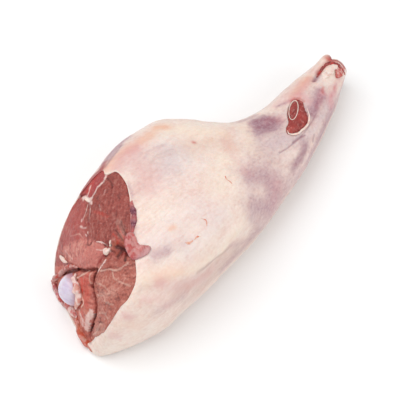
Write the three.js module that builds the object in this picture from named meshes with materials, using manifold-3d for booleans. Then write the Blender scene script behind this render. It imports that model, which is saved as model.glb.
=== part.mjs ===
// Raw leg of lamb lying on its outer side, with the rump cut open and the shank pointing along +X.
// Millimetres, +Z up. The origin is on the surface it lies on, under the middle of the leg.
// Three solids: the meat with its fat cover, the head of the thigh bone that shows in the cut,
// and the end of the shank bone that shows at the hock.

import * as THREE from 'three';
import Module from 'manifold-3d';

// ---------------------------------------------------------------- driving dimensions

// Stations along the leg. At each, near and far are the sides (Y), under and top the heights (Z).
// Where under is below zero, the leg's own weight has pressed it flat on the surface.
const FIRST_STATION_X = -253;
const STATION_PITCH = 38;
const STATIONS = [
  { near: -28, far: 87, under: -8, top: 80 },
  { near: -37, far: 62, under: -10, top: 84 },
  { near: -61, far: 47, under: -11, top: 92 },
  { near: -76, far: 54, under: -11, top: 101 },
  { near: -78, far: 64, under: -11, top: 104 },
  { near: -78, far: 74, under: -11, top: 100 },
  { near: -77, far: 78, under: -10, top: 92 },
  { near: -73, far: 69, under: -6, top: 80 },
  { near: -67, far: 27, under: 2, top: 67 },
  { near: -58, far: 14, under: 8, top: 60 },
  { near: -46, far: 12, under: 10, top: 56 },
  { near: -30, far: 10, under: 11, top: 52 },
  { near: -11, far: 9, under: 13, top: 43 },
  { near: 6, far: 10, under: 15, top: 40 },
];
const FLOOR_BLEND = 3; // height over which the flattened underside rolls up off the surface

// The widest line of a section is at this share of its height, and its outline is a superellipse
// with this exponent. Both change from the rump to the shank.
const BELT = { rump: 0.43, shank: 0.48, from: -140, to: 50 };
const ROUNDNESS = { rump: 0.66, shank: 0.92, from: -100, to: 128 };

// The butcher's cut through the rump: a plane that looks back and up, slightly domed across and
// more strongly domed from top to bottom.
const CUT = {
  origin: new THREE.Vector3(-143, -23, 89.7),
  azimuth: 161.7,
  elevation: 53.5,
  domeAcross: 0.0019,
  domeDown: 0.0053,
  middle: { across: 16, down: 41 },
};

// The flat cut through the hock joint.
const HOCK = {
  origin: new THREE.Vector3(190, -11, 40),
  azimuth: 18,
  elevation: 16,
  domeAcross: 0,
  domeDown: 0,
};

const RIM_ROUNDING = { cut: 4, hock: 2.5 };
const SEARCH = { cut: [-250, 40], hock: [60, 240], steps: 40 };

// Fineness of the meat's skin.
const GRID = { around: 56, cut: 15, rim: 3, skin: 26, hock: 3 };

// Seams between the muscles on the cut, as [across, down] on its surface. Each is a shallow valley
// in which the muscles roll in, and the two open ones are also split by a narrow wedge.
const SEAMS = {
  upper: [[51, 64], [38, 53], [30, 44], [18, 31], [9, 22], [12, 10], [8, -2], [1, -18]],
  lower: [[9, 22], [-1, 34], [-14, 41], [-20, 50], [-22, 63], [-21, 76], [-31, 84]],
  outer: [[84, -30], [77, -16], [73, -7], [68, 0], [60, 8], [42, 12], [32, 16]],
};
const VALLEY = { upper: [3.2, 9], lower: [3.6, 9], outer: [1.6, 7] }; // depth, width
const WEDGE = { upper: [4.5, 6], lower: [5, 9], hock: [4, 4.5], lift: 3 }; // width, depth

// The torn collar of the hip joint stands in an arc round the bone, and a loose strip of meat
// hangs below it. Both lie on the cut, and sizes are [width, height].
const COLLAR = { middle: [24, 66], radius: 20.5, from: -105, to: 95, size: [9, 6.5] };
const STRIP = { line: [[6, 80], [-6, 85], [-18, 87], [-30, 84]], size: [8, 3] };
const CLEAR_OF_FLOOR = 0.5;

// On the upper skin, as [x, y]: the tongue of membrane folded over the fat and the vein beside it.
const TONGUE = {
  outline: [
    [-133, -39], [-124, -45], [-115, -44], [-112, -37], [-119, -31], [-116, -21], [-124, -15], [-132, -26],
  ],
  height: 2.2,
  root: 4,
  flare: 0.9,
};
const VEIN = { line: [[-96, 0], [-101, -7], [-107, -13], [-113, -18], [-119, -21]], size: [6, 2] };

// The window in the shank's cover where its muscle shows, and the small muscle that lies in it.
const WINDOW = {
  outline: [
    [111, -10], [99, -17], [88, -26], [82, -35], [88, -39], [100, -38], [111, -33], [119, -24], [122, -14],
  ],
  depth: 2.6,
  lift: 5,
  flare: 1.2,
};
const SPINDLE = { at: [107.5, -16], halfLength: 13, halfWidth: 4.2, halfHeight: 3, sink: 1.6, turn: 38 };

// The tendon that runs to the hock along the upper skin, and the gap that opens beside it.
const TENDON = { line: [[142, -18], [158, -15], [174, -12], [190, -9]], size: [11, 1.6] };
const HOCK_GAP = [[146, -9], [153, -4], [162, -1], [174, 0], [184, 0], [193, 0]];

// Head of the thigh bone: a ball on a narrower neck whose root is in the meat.
const THIGH_BONE = {
  centre: new THREE.Vector3(-167.5, 10, 29),
  inward: new THREE.Vector3(0.93, -0.27, 0.25),
  ballRadius: 15.5,
  neckRadius: 10,
  rootRadius: 12,
  length: 44,
};

// End of the shank bone: a bar that swells into two low knuckles.
const SHANK_BONE = {
  tip: new THREE.Vector3(193, -6.5, 35.5),
  inward: new THREE.Vector3(-0.985, -0.08, 0.09),
  knuckleRadius: 9.4,
  rootRadius: 7.5,
  knuckleAt: 13,
  saddleDepth: 0.1,
  length: 50,
};

const FINEST_EDGE = 0.05; // shorter edges, left where pieces cross, are closed up
const BONE_GAP = 0.3; // clearance between each bone and the meat round it
const BONE_GRID = { around: 24, along: 14 };

const COLOURS = { meat: 0xead3c8, thighBone: 0xd3cee2, shankBone: 0xe9dccf };

// ---------------------------------------------------------------- small helpers

const wasm = await Module();
wasm.setup();

const smoothStep = (from, to, value) => THREE.MathUtils.smoothstep(value, from, to);
const steps = (count) => Array.from({ length: count }, (_, i) => i);

// A closed solid through rings of equally many points, with a pole at each end. The rings run
// counterclockwise as seen from ahead, looking back along the loft.
function loft(rings, startPole, endPole) {
  const around = rings[0].length;
  const points = [startPole, ...rings.flat(), endPole];
  const last = points.length - 1;
  const at = (ring, j) => 1 + ring * around + (j % around);
  const triangles = [];
  for (const j of steps(around)) {
    triangles.push(0, at(0, j + 1), at(0, j));
    triangles.push(last, at(rings.length - 1, j), at(rings.length - 1, j + 1));
    for (const i of steps(rings.length - 1)) {
      triangles.push(at(i, j), at(i, j + 1), at(i + 1, j));
      triangles.push(at(i, j + 1), at(i + 1, j + 1), at(i + 1, j));
    }
  }
  const mesh = new wasm.Mesh({
    numProp: 3,
    vertProperties: new Float32Array(points.flatMap((point) => point.toArray())),
    triVerts: new Uint32Array(triangles),
  });
  return new wasm.Manifold(mesh);
}

// Carving can leave a crumb beside a cut, which is dropped.
function largestBody(solid) {
  return solid.decompose().reduce((a, b) => (a.volume() > b.volume() ? a : b));
}

// ---------------------------------------------------------------- the leg's skin

// Uniform Catmull-Rom through the stations, so every section follows smoothly from the last.
function station(x) {
  const place = (x - FIRST_STATION_X) / STATION_PITCH;
  const i = THREE.MathUtils.clamp(Math.floor(place), 1, STATIONS.length - 3);
  const f = place - i;
  const blend = (key) => {
    const [a, b, c, d] = [-1, 0, 1, 2].map((k) => STATIONS[i + k][key]);
    return b + 0.5 * f * (c - a + f * (2 * a - 5 * b + 4 * c - d + f * (3 * (b - c) + d - a)));
  };
  const [near, far, under, top] = ['near', 'far', 'under', 'top'].map(blend);
  const belt = THREE.MathUtils.lerp(BELT.rump, BELT.shank, smoothStep(BELT.from, BELT.to, x));
  const power = THREE.MathUtils.lerp(
    ROUNDNESS.rump, ROUNDNESS.shank, smoothStep(ROUNDNESS.from, ROUNDNESS.to, x));
  return {
    middle: (near + far) / 2,
    halfWidth: (far - near) / 2,
    beltHeight: under + belt * (top - under),
    under,
    top,
    power,
  };
}

// Heights below the surface are pressed up to it, with a short soft roll at the edge.
function restOnFloor(z) {
  if (z > FLOOR_BLEND) return z;
  return z < -FLOOR_BLEND ? 0 : (z + FLOOR_BLEND) ** 2 / (4 * FLOOR_BLEND);
}

// The point of the skin in one direction from the middle of its section, given as an angle.
function skinPoint(x, angle) {
  const s = station(x);
  const direction = [Math.cos(angle), Math.sin(angle)];
  const power = 2 / s.power;
  const reach = direction.reduce((sum, value) => sum + Math.abs(value) ** power, 0) ** (-1 / power);
  const [sideways, upward] = direction.map((value) => value * reach);
  const height = upward > 0 ? s.top - s.beltHeight : s.beltHeight - s.under;
  const z = restOnFloor(s.beltHeight + height * upward);
  return new THREE.Vector3(x, s.middle + s.halfWidth * sideways, z);
}

// Height of the upper skin over a place in plan.
function skinHeight(x, y) {
  const s = station(x);
  const sideways = Math.min(Math.abs((y - s.middle) / s.halfWidth), 1) ** (1 / s.power);
  return s.beltHeight + (s.top - s.beltHeight) * Math.sqrt(1 - sideways ** 2) ** s.power;
}

// ---------------------------------------------------------------- the two cuts

function cutFrame({ azimuth, elevation }) {
  const [a, e] = [azimuth, elevation].map(THREE.MathUtils.degToRad);
  const out = new THREE.Vector3(Math.cos(e) * Math.cos(a), Math.cos(e) * Math.sin(a), Math.sin(e));
  const across = new THREE.Vector3(Math.sin(a), -Math.cos(a), 0);
  const down = new THREE.Vector3().crossVectors(out, across);
  return { out, across, down };
}

function inCut(cut, point) {
  const frame = cutFrame(cut);
  const offset = point.clone().sub(cut.origin);
  return {
    across: offset.dot(frame.across),
    down: offset.dot(frame.down),
    out: offset.dot(frame.out),
  };
}

function dome(cut, across, down) {
  return cut.domeAcross * across ** 2 + cut.domeDown * down ** 2;
}

// Distance beyond a cut, positive where the leg has been taken away.
function beyond(cut, point) {
  const p = inCut(cut, point);
  return p.out + dome(cut, p.across, p.down);
}

function onCut(cut, across, down, raised = 0) {
  const frame = cutFrame(cut);
  return cut.origin.clone()
    .addScaledVector(frame.across, across)
    .addScaledVector(frame.down, down)
    .addScaledVector(frame.out, raised - dome(cut, across, down));
}

// The X at which a cut meets the skin at one angle round the leg, by halving the interval.
function whereCut(cut, [low, high], angle) {
  const lowIsBeyond = beyond(cut, skinPoint(low, angle)) > 0;
  for (const _ of steps(SEARCH.steps)) {
    const middle = (low + high) / 2;
    if ((beyond(cut, skinPoint(middle, angle)) > 0) === lowIsBeyond) low = middle;
    else high = middle;
  }
  return (low + high) / 2;
}

// Distance from [across, down] to a line of such points.
function distanceTo(line, across, down) {
  const place = new THREE.Vector3(across, down, 0);
  const corners = line.map(([u, v]) => new THREE.Vector3(u, v, 0));
  const nearest = new THREE.Vector3();
  const distances = corners.slice(1).map((end, i) => {
    new THREE.Line3(corners[i], end).closestPointToPoint(place, true, nearest);
    return nearest.distanceTo(place);
  });
  return Math.min(...distances);
}

// The muscles' relief on the cut: the sum of the valleys along the seams.
function muscleRelief(across, down) {
  const valleys = Object.keys(SEAMS).map((name) => {
    const [depth, width] = VALLEY[name];
    return depth * Math.exp(-((distanceTo(SEAMS[name], across, down) / width) ** 2));
  });
  return -Math.max(...valleys);
}

// ---------------------------------------------------------------- the meat before its details

function quadratic(a, b, c, f) {
  const first = a.clone().lerp(b, f);
  return first.lerp(b.clone().lerp(c, f), f);
}

// Columns run from the middle of the rump cut out over its rim, along the skin, over the hock's
// rim and in to the middle of the hock cut. Both rims are rounded.
function wholeLeg() {
  const columns = steps(GRID.around).map((j) => {
    const angle = (2 * Math.PI * j) / GRID.around;
    const start = whereCut(CUT, SEARCH.cut, angle);
    const end = whereCut(HOCK, SEARCH.hock, angle);
    const rim = skinPoint(start, angle);
    const hockRim = skinPoint(end, angle);
    return { angle, start, end, rim, hockRim, cutRim: inCut(CUT, rim), hockEdge: inCut(HOCK, hockRim) };
  });

  const cutPoint = (column, share) => {
    const { middle } = CUT;
    const across = THREE.MathUtils.lerp(middle.across, column.cutRim.across, share);
    const down = THREE.MathUtils.lerp(middle.down, column.cutRim.down, share);
    return onCut(CUT, across, down, muscleRelief(across, down));
  };
  const cutShare = (column) => {
    const { across, down } = column.cutRim;
    return 1 - RIM_ROUNDING.cut / Math.hypot(across - CUT.middle.across, down - CUT.middle.down);
  };
  const hockPoint = (column, share) => {
    const { across, down } = column.hockEdge;
    return onCut(HOCK, across * share, down * share);
  };
  const hockShare = (column) => {
    const { across, down } = column.hockEdge;
    return 1 - RIM_ROUNDING.hock / Math.hypot(across, down);
  };
  const alongSkin = (column, share) => {
    const from = column.start + RIM_ROUNDING.cut;
    const to = column.end - RIM_ROUNDING.hock;
    return skinPoint(THREE.MathUtils.lerp(from, to, share), column.angle);
  };

  const ring = (place) => columns.map(place);
  const rings = [
    ...steps(GRID.cut).map((i) => ring((c) => cutPoint(c, (cutShare(c) * (i + 1)) / GRID.cut))),
    ...steps(GRID.rim - 1).map((i) => ring((c) =>
      quadratic(cutPoint(c, cutShare(c)), c.rim, alongSkin(c, 0), (i + 1) / GRID.rim))),
    ...steps(GRID.skin + 1).map((i) => ring((c) => alongSkin(c, i / GRID.skin))),
    ...steps(GRID.rim - 1).map((i) => ring((c) =>
      quadratic(alongSkin(c, 1), c.hockRim, hockPoint(c, hockShare(c)), (i + 1) / GRID.rim))),
    ...steps(GRID.hock).map((i) => ring((c) => hockPoint(c, hockShare(c) * (1 - i / GRID.hock)))),
  ];
  const { middle } = CUT;
  const startPole = onCut(CUT, middle.across, middle.down, muscleRelief(middle.across, middle.down));
  return loft(rings, startPole, onCut(HOCK, 0, 0));
}

// ---------------------------------------------------------------- details laid on a surface

// A surface gives the point and the outward direction at a pair of its own coordinates.
const cutSurface = (across, down) => {
  const { across: sideways, down: downward, out } = cutFrame(CUT);
  const normal = out.clone()
    .addScaledVector(sideways, 2 * CUT.domeAcross * across)
    .addScaledVector(downward, 2 * CUT.domeDown * down)
    .normalize();
  return { point: onCut(CUT, across, down, muscleRelief(across, down)), normal };
};

const skinSurface = (x, y) => {
  const reach = 0.5;
  const slopeX = skinHeight(x + reach, y) - skinHeight(x - reach, y);
  const slopeY = skinHeight(x, y + reach) - skinHeight(x, y - reach);
  return {
    point: new THREE.Vector3(x, y, skinHeight(x, y)),
    normal: new THREE.Vector3(-slopeX, -slopeY, 2 * reach).normalize(),
  };
};

const curveThrough = (line, closed = false) =>
  new THREE.CatmullRomCurve3(line.map(([u, v]) => new THREE.Vector3(u, v, 0)), closed);

// Points of an arc, in degrees.
function arcOf({ middle: [u, v], radius, from, to }, count = 7) {
  return steps(count).map((i) => {
    const turn = THREE.MathUtils.degToRad(THREE.MathUtils.lerp(from, to, i / (count - 1)));
    return [u + radius * Math.cos(turn), v + radius * Math.sin(turn)];
  });
}

// A bar along a line on a surface. Its section is a list of [sideways, outward] corners, run
// counterclockwise as seen from ahead, and it shrinks towards both ends.
function barAlong(surface, line, section, count = 13) {
  const curve = curveThrough(line);
  const places = steps(count).map((i) => {
    const { x, y } = curve.getPoint(i / (count - 1));
    return surface(x, y);
  });
  const rings = places.map(({ point, normal }, i) => {
    const ahead = places[Math.min(i + 1, count - 1)].point;
    const behind = places[Math.max(i - 1, 0)].point;
    const forward = ahead.clone().sub(behind).normalize();
    const side = new THREE.Vector3().crossVectors(normal, forward).normalize();
    const size = 0.35 + 0.65 * Math.sin((Math.PI * (i + 0.5)) / count) ** 0.5;
    return section.map(([sideways, outward]) =>
      point.clone().addScaledVector(side, sideways * size).addScaledVector(normal, outward * size));
  });
  const middleOf = (ring) =>
    ring.reduce((sum, point) => sum.add(point), new THREE.Vector3()).divideScalar(ring.length);
  return loft(rings, middleOf(rings[0]), middleOf(rings[count - 1]));
}

// A wedge that splits a surface: width at the surface, its edge at the given depth.
function wedgeAlong(surface, line, [width, depth]) {
  const mouth = (width / 2) * (1 + WEDGE.lift / depth);
  return barAlong(surface, line, [[mouth, WEDGE.lift], [-mouth, WEDGE.lift], [0, -depth]]);
}

// A rounded ridge that stands on a surface and is rooted under it.
function ridgeAlong(surface, line, [width, height]) {
  const corners = 6;
  const section = steps(corners).map((i) => {
    const turn = (2 * Math.PI * (i + 0.5)) / corners;
    return [(width / 2) * Math.cos(turn), height * Math.sin(turn)];
  });
  return barAlong(surface, line, section).trimByPlane([0, 0, 1], CLEAR_OF_FLOOR);
}

// A plate between two distances from a surface, inside a smooth outline. The outline runs
// counterclockwise as seen from outside, and the outer face is flared from it by a factor.
function plateOn(surface, outline, low, high, flare) {
  const count = 22;
  const curve = curveThrough(outline, true);
  const edge = steps(count).map((i) => curve.getPoint(i / count));
  const middle = edge.reduce((sum, p) => sum.add(p), new THREE.Vector3()).divideScalar(count);
  const lifted = (p, distance) => {
    const { point, normal } = surface(p.x, p.y);
    return point.addScaledVector(normal, distance);
  };
  const layer = (share, distance) =>
    edge.map((p) => lifted(middle.clone().lerp(p, share), distance));
  const rings = [layer(0.55, low), layer(1, low), layer(flare, high), layer(0.55 * flare, high)];
  return loft(rings, lifted(middle, low), lifted(middle, high));
}

// The small spindle-shaped muscle in the window.
function spindle() {
  const [x, y] = SPINDLE.at;
  const { point, normal } = skinSurface(x, y);
  const turn = THREE.MathUtils.degToRad(SPINDLE.turn);
  const flat = new THREE.Vector3(Math.cos(turn), Math.sin(turn), 0);
  const forward = flat.addScaledVector(normal, -flat.dot(normal)).normalize();
  const side = new THREE.Vector3().crossVectors(normal, forward);
  const [around, along] = [12, 9];
  const centre = point.addScaledVector(normal, -SPINDLE.sink);
  const place = (f, turnRound) => {
    const girth = Math.sin(Math.PI * f) ** 0.8;
    return centre.clone()
      .addScaledVector(forward, -SPINDLE.halfLength * Math.cos(Math.PI * f))
      .addScaledVector(side, SPINDLE.halfWidth * girth * Math.cos(turnRound))
      .addScaledVector(normal, SPINDLE.halfHeight * girth * Math.sin(turnRound));
  };
  const rings = steps(along - 1).map((i) =>
    steps(around).map((j) => place((i + 1) / along, (2 * Math.PI * j) / around)));
  return loft(rings, place(0, 0), place(1, 0));
}

// ---------------------------------------------------------------- bones

// A round bone along its axis. The radius follows the length from the outer tip, and an extra
// gap makes the hollow that the bone lies in. The saddle presses a groove into the outer end.
function boneAlong(tip, inward, length, radiusAt, gap, saddle = 0) {
  const axis = inward.clone().normalize();
  const side = new THREE.Vector3(0, 0, 1).cross(axis).normalize();
  const up = new THREE.Vector3().crossVectors(axis, side);
  const start = tip.clone().addScaledVector(axis, -gap);
  const whole = length + 2 * gap;
  const ringAt = (f) => {
    const radius = radiusAt(f) + gap;
    return steps(BONE_GRID.around).map((j) => {
      const turn = (2 * Math.PI * j) / BONE_GRID.around;
      const pinch = 1 - saddle * Math.abs(Math.sin(turn)) ** 4 * (1 - smoothStep(0.1, 0.6, f));
      return start.clone()
        .addScaledVector(axis, whole * f)
        .addScaledVector(side, radius * Math.cos(turn))
        .addScaledVector(up, radius * pinch * Math.sin(turn));
    });
  };
  // Rings crowd towards both ends, where the radius changes fastest.
  const rings = steps(BONE_GRID.along - 1).map((i) =>
    ringAt((1 - Math.cos((Math.PI * (i + 1)) / BONE_GRID.along)) / 2));
  return loft(rings, start, start.clone().addScaledVector(axis, whole));
}

// Ball, narrower neck and the thicker root, rounded off at both ends.
function thighBone(gap) {
  const b = THIGH_BONE;
  const axis = b.inward.clone().normalize();
  const tip = b.centre.clone().addScaledVector(axis, -b.ballRadius);
  const radiusAt = (f) => {
    const along = f * b.length;
    const fromCentre = along - b.ballRadius;
    const ball = Math.sqrt(Math.max(b.ballRadius ** 2 - fromCentre ** 2, 0));
    if (fromCentre < 0) return ball;
    const neck = THREE.MathUtils.lerp(
      b.neckRadius, b.rootRadius, smoothStep(1.4 * b.ballRadius, b.length, along));
    const endRound = Math.sqrt(Math.max(1 - ((along - b.length + 5) / 5) ** 2, 0));
    return Math.max(ball, neck * (along > b.length - 5 ? endRound : 1));
  };
  return boneAlong(tip, b.inward, b.length, radiusAt, gap);
}

// The shank bone's end swells to the knuckles and has a groove between them.
function shankBone(gap) {
  const b = SHANK_BONE;
  const radiusAt = (f) => {
    const along = f * b.length;
    const swell = Math.exp(-(((along - b.knuckleAt) / (1.3 * b.knuckleAt)) ** 2));
    const radius = THREE.MathUtils.lerp(b.rootRadius, b.knuckleRadius, swell);
    const fromEnd = Math.min(along, b.length - along);
    const round = Math.min(fromEnd / 6, 1);
    return radius * Math.sqrt(1 - (1 - round) ** 2);
  };
  return boneAlong(b.tip, b.inward, b.length, radiusAt, gap, b.saddleDepth);
}

// ---------------------------------------------------------------- the meat with its details

function meat() {
  const added = [
    ridgeAlong(cutSurface, arcOf(COLLAR), COLLAR.size),
    ridgeAlong(cutSurface, STRIP.line, STRIP.size),
    ridgeAlong(skinSurface, VEIN.line, VEIN.size),
    ridgeAlong(skinSurface, TENDON.line, TENDON.size),
    plateOn(skinSurface, TONGUE.outline, -TONGUE.root, TONGUE.height, TONGUE.flare),
  ];
  const removed = [
    plateOn(skinSurface, WINDOW.outline, -WINDOW.depth, WINDOW.lift, WINDOW.flare),
    wedgeAlong(cutSurface, SEAMS.upper, WEDGE.upper),
    wedgeAlong(cutSurface, SEAMS.lower, WEDGE.lower),
    wedgeAlong(skinSurface, HOCK_GAP, WEDGE.hock),
  ];
  const grown = added.reduce((solid, piece) => solid.add(piece), wholeLeg());
  const carved = removed.reduce((solid, piece) => solid.subtract(piece), grown);
  const filled = carved.add(spindle());
  const hollowed = filled.subtract(thighBone(BONE_GAP)).subtract(shankBone(BONE_GAP));
  return largestBody(hollowed.simplify(FINEST_EDGE));
}

// ---------------------------------------------------------------- the scene graph

function named(name, solid, colour, roughness) {
  const { vertProperties, triVerts } = solid.getMesh();
  const geometry = new THREE.BufferGeometry();
  geometry.setAttribute('position', new THREE.BufferAttribute(vertProperties, 3));
  geometry.setIndex(new THREE.BufferAttribute(triVerts, 1));
  geometry.computeVertexNormals();
  const material = new THREE.MeshStandardMaterial({ color: colour, roughness, metalness: 0 });
  const mesh = new THREE.Mesh(geometry, material);
  mesh.name = name;
  return mesh;
}

const lamb = new THREE.Group();
lamb.add(
  named('leg', meat(), COLOURS.meat, 0.5),
  named('thigh_bone', thighBone(0), COLOURS.thighBone, 0.25),
  named('shank_bone', shankBone(0), COLOURS.shankBone, 0.4),
);

export default lamb;
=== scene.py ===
"""A raw leg of lamb lying on its outer side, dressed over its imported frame.

Sizes are in millimetres, in the frame's own axes: +X runs from the rump cut to the hock and +Z
points up. They turn to metres where a mesh is made. Every surface is a function of two parameters,
worked out as whole arrays on a grid.
"""

import logging
from dataclasses import dataclass, field, replace
from enum import Enum
from typing import Callable, Iterable

import bpy
import numpy as np
from mathutils import Matrix


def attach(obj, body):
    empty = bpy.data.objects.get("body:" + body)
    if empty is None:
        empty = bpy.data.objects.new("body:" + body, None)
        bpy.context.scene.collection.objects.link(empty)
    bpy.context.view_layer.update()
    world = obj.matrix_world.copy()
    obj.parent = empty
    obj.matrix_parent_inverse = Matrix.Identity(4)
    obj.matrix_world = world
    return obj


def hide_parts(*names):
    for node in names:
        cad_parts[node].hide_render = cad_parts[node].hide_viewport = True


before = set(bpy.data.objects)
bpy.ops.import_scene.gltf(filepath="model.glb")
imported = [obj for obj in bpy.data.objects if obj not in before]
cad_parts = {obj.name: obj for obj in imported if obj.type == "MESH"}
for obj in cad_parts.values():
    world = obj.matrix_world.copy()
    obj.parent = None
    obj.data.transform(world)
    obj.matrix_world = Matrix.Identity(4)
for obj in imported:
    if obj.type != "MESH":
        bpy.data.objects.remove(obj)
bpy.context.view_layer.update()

LOG = logging.getLogger("leg_of_lamb")
MM = 0.001
BODY = "root"
HASH_PRIMES = np.array([374761393, 668265263, 982451653])
HASH_SEED, HASH_SPREAD, HASH_MASK = 40503, 1274126177, 0x7FFFFFFF

Array = np.ndarray
Pair = tuple[float, float]
Triple = tuple[float, float, float]
Row = tuple[float, ...]
Line = tuple[Row, ...]
Tints = tuple[tuple[str, float, float], ...]
Surface = Callable[[Array, Array], tuple[Array, Array]]


class Slot(Enum):
    """Names of the material slots."""

    MEAT = "meat_and_fat"
    CARTILAGE = "cartilage"
    BONE = "bone"


# ---- numbers


def smooth_step(low: float, high: float, value: Array) -> Array:
    """Rises from 0 at low to 1 at high, as 3t^2 - 2t^3."""
    share = np.clip((value - low) / (high - low), 0.0, 1.0)
    return share * share * (3.0 - 2.0 * share)


def mix(low: Array, high: Array, share: Array) -> Array:
    """The value at a share of the way from low to high."""
    return low + (high - low) * share


def unit(vectors: Array) -> Array:
    """The vectors at length one."""
    return vectors / np.maximum(np.linalg.norm(vectors, axis=-1, keepdims=True), 1e-9)


def hill(distance: Array, width: float) -> Array:
    """A bell that is 1 at distance 0 and falls as exp(-(distance / width)^2)."""
    return np.exp(-((distance / width) ** 2))


def corner_values(corner: Array, seed: int) -> Array:
    """Hashes whole-number lattice corners to evenly spread numbers.

    Args:
        corner: the corners, as (..., 3).
        seed: which of the endless patterns to take.

    Returns:
        A number from -1 to 1 for each corner.
    """
    mixed = (corner @ HASH_PRIMES + seed * HASH_SEED) & HASH_MASK
    mixed = ((mixed ^ (mixed >> 13)) * HASH_SPREAD) & HASH_MASK
    mixed = mixed ^ (mixed >> 16)
    return (mixed & 0xFFFF) / 32767.5 - 1.0


def value_noise(points: Array, size: float | Triple, seed: int) -> Array:
    """Smooth random values from -1 to 1, one per point.

    Each point takes the values of its eight lattice corners, blended along each axis with the
    quintic 6t^5 - 15t^4 + 10t^3.

    Args:
        points: places in millimetres, as (..., 3).
        size: the lattice's spacing, the same along every axis or one for each.
        seed: which pattern to take.

    Returns:
        One value per point.
    """
    place = points / np.asarray(size, dtype=float)
    base = np.floor(place).astype(np.int64)
    part = place - base
    ease = part ** 3 * (part * (part * 6.0 - 15.0) + 10.0)
    total = np.zeros(points.shape[:-1])
    for corner in np.ndindex(2, 2, 2):
        weight = np.prod(np.where(np.array(corner) == 1, ease, 1.0 - ease), axis=-1)
        total += weight * corner_values(base + np.array(corner), seed)
    return total


def layered_noise(points: Array, size: float, seed: int, layers: int = 3) -> Array:
    """Value noise summed over layers, each half the size and half the strength of the last.

    Args:
        points: places in millimetres, as (..., 3).
        size: the first layer's lattice spacing.
        seed: which pattern the first layer takes.
        layers: how many layers there are.

    Returns:
        One value from -1 to 1 per point.
    """
    strengths = [0.5 ** layer for layer in range(layers)]
    total = sum(
        strength * value_noise(points, size * strength, seed + layer)
        for layer, strength in enumerate(strengths)
    )
    return total / sum(strengths)


# ---- lines


def between(a: Array, b: Array, c: Array, d: Array, share: Array) -> Array:
    """The uniform Catmull-Rom curve from b to c, at a share of the way, with a and d beyond them."""
    rise = c - a + share * (2 * a - 5 * b + 4 * c - d + share * (3 * (b - c) + d - a))
    return b + 0.5 * share * rise


def smooth_line(corners: Line | Array, count: int, closed: bool = False) -> Array:
    """Points of the uniform Catmull-Rom curve through some corners.

    Args:
        corners: the points that the curve passes through.
        count: how many points to give, evenly spread over the corners.
        closed: whether the curve returns to its first corner.

    Returns:
        The points, as (count, dimensions).
    """
    given = np.asarray(corners, dtype=float)
    if closed:
        ends = np.concatenate([given[-1:], given, given[:2]])
        place = np.linspace(0, len(given), count, endpoint=False)
    else:
        ends = np.concatenate([2 * given[:1] - given[1:2], given, 2 * given[-1:] - given[-2:-1]])
        place = np.linspace(0, len(given) - 1, count)
    first = np.minimum(place.astype(int), len(ends) - 4)
    return between(*(ends[first + step] for step in range(4)), (place - first)[:, None])


def distance_to(points: Array, line: Line | Array) -> tuple[Array, Array]:
    """How far each point is from a line of straight stretches, and how far along it.

    Args:
        points: places, as (..., dimensions).
        line: the line's corners.

    Returns:
        The distance to the nearest stretch, and the share of the line's stretches passed there.
    """
    corners = np.asarray(line, dtype=float)
    nearest = np.full(points.shape[:-1], np.inf)
    passed = np.zeros(points.shape[:-1])
    stretches = len(corners) - 1
    for index in range(stretches):
        start, run = corners[index], corners[index + 1] - corners[index]
        share = np.clip(((points - start) @ run) / max(run @ run, 1e-9), 0.0, 1.0)
        distance = np.linalg.norm(points - start - share[..., None] * run, axis=-1)
        closer = distance < nearest
        nearest = np.where(closer, distance, nearest)
        passed = np.where(closer, (index + share) / stretches, passed)
    return nearest, passed


def depth_inside(points: Array, corners: Line, count: int) -> Array:
    """The distance from the smooth closed outline through some corners, in plan.

    A point is inside where a ray from it crosses the outline an odd number of times.

    Args:
        points: places, as (..., 2).
        corners: the outline's corners.
        count: how many points the smooth outline has.

    Returns:
        The distance, positive inside the outline and negative outside it.
    """
    outline = smooth_line(corners, count, closed=True)
    closed = np.concatenate([outline, outline[:1]])
    distance, _ = distance_to(points, closed)
    inside = np.zeros(points.shape[:-1], dtype=bool)
    for start, end in zip(closed[:-1], closed[1:]):
        spans = (start[1] > points[..., 1]) != (end[1] > points[..., 1])
        rise = end[1] - start[1] if end[1] != start[1] else 1e-9
        crossing = start[0] + (points[..., 1] - start[1]) * (end[0] - start[0]) / rise
        inside ^= spans & (points[..., 0] < crossing)
    return np.where(inside, distance, -distance)


# ---- meshes


@dataclass
class Shell:
    """A closed mesh: points in millimetres, its faces as runs of corners, and marks for its finish."""

    points: Array
    corners: Array
    starts: Array
    marks: dict[str, Array] = field(default_factory=dict)


def facing(here: Array, ahead: Array) -> Array:
    """The four corners of each face between rings of point numbers and the rings ahead of them."""
    corners = [here, np.roll(here, -1, axis=1), np.roll(ahead, -1, axis=1), ahead]
    return np.stack(corners, axis=-1).reshape(-1, 4)


def closed_shell(rings: Array, first: Array, last: Array) -> Shell:
    """Joins rings of equally many points, and closes each end on a pole.

    The rings run counterclockwise as seen from ahead, so that every face points outwards.

    Args:
        rings: points, as (rings, around, 3).
        first: the pole before the first ring.
        last: the pole after the last ring.

    Returns:
        The shell, whose points are the first pole, the rings in order and the last pole.
    """
    count, around = rings.shape[:2]
    points = np.concatenate([first[None], rings.reshape(-1, 3), last[None]])
    here = 1 + np.arange(count)[:, None] * around + np.arange(around)
    quads = facing(here[:-1], here[1:])
    start, end = np.roll(here[0], -1), np.roll(here[-1], -1)
    fans = np.concatenate([
        np.stack([np.zeros(around, dtype=int), start, here[0]], axis=-1),
        np.stack([np.full(around, len(points) - 1), here[-1], end], axis=-1),
    ])
    corners = np.concatenate([quads.ravel(), fans.ravel()])
    starts = np.concatenate([np.arange(len(quads)) * 4, len(quads) * 4 + np.arange(len(fans)) * 3])
    return Shell(points, corners, starts)


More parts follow.
